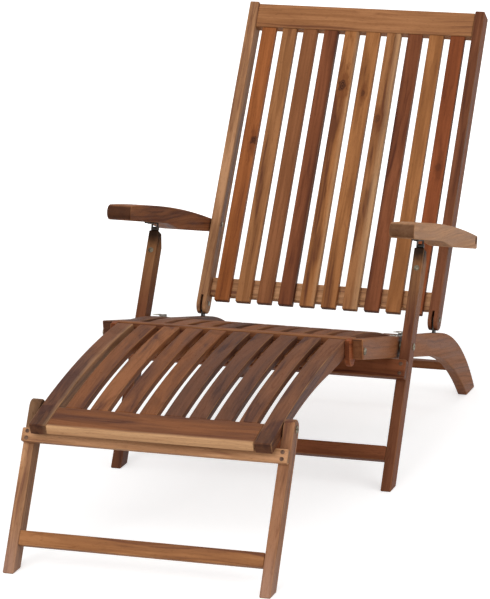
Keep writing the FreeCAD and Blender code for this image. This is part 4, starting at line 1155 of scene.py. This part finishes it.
floor_mesh = bpy.data.meshes.new("floor")
corners = [(-FLOOR_REACH, -FLOOR_REACH, 0), (FLOOR_REACH, -FLOOR_REACH, 0),
           (FLOOR_REACH, FLOOR_REACH, 0), (-FLOOR_REACH, FLOOR_REACH, 0)]
floor_mesh.from_pydata(corners, [], [(0, 1, 2, 3)])
floor = bpy.data.objects.new("floor", floor_mesh)
bpy.context.scene.collection.objects.link(floor)
floor_paint = bpy.data.materials.new("floor_paint")
floor_paint.use_nodes = True
tree = floor_paint.node_tree
shader = tree.nodes["Principled BSDF"]
shader.inputs["Base Color"].default_value = FLOOR_COLOUR
shader.inputs["Roughness"].default_value = 0.9
shader.inputs["Specular IOR Level"].default_value = 0
shader.inputs["Emission Color"].default_value = WHITE
far = vector_calc(tree, "LENGTH", add(tree, "TexCoord").outputs["Object"])
glow = ramp(tree, far, GLOW_FROM, GLOW_TO, NEAR_GLOW, 1.0)
fill(tree, shader.inputs["Emission Strength"], calc(tree, "MULTIPLY", seen_directly(tree), glow))
floor_mesh.materials.append(floor_paint)
print("floor", 2 * FLOOR_REACH, "m wide")

# %% World
ROOM_LIGHT = 0.46

world = bpy.data.worlds.new("studio")
bpy.context.scene.world = world
world.use_nodes = True
tree = world.node_tree
background = tree.nodes["Background"]
background.inputs["Color"].default_value = WHITE
fill(tree, background.inputs["Strength"],
     ramp(tree, seen_directly(tree), 0.0, 1.0, ROOM_LIGHT, 1.0))
bpy.context.scene.view_settings.view_transform = "Standard"
print("the world lights the chair at", ROOM_LIGHT)

# %% [markdown]
# ## Lamps
# The main lamp hangs in front of the chair, above it and a little to the left, so tops are
# lightest and undersides darkest. A weaker one on the right and one overhead open the shadows.

# %% Lamps
LAMP_WIDTH = 2.4
LIT_SPOT = Vector((0, 0, 0.35))
LAMPS = [
    # name, place, power in watts
    ("main_lamp", (-0.6, -4.2, 2.3), 95),
    ("side_lamp", (3.2, -1.4, 2.0), 28),
    ("top_lamp", (0.4, 1.2, 3.6), 16),
]
for name, place, power in LAMPS:
    data = bpy.data.lights.new(name, "AREA")
    data.shape = "SQUARE"
    data.size = LAMP_WIDTH
    data.energy = power
    holder = bpy.data.objects.new(name, data)
    holder.location = place
    aim = LIT_SPOT - Vector(place)
    holder.rotation_euler = aim.to_track_quat("-Z", "Y").to_euler()
    bpy.context.scene.collection.objects.link(holder)
print(len(LAMPS), "lamps")
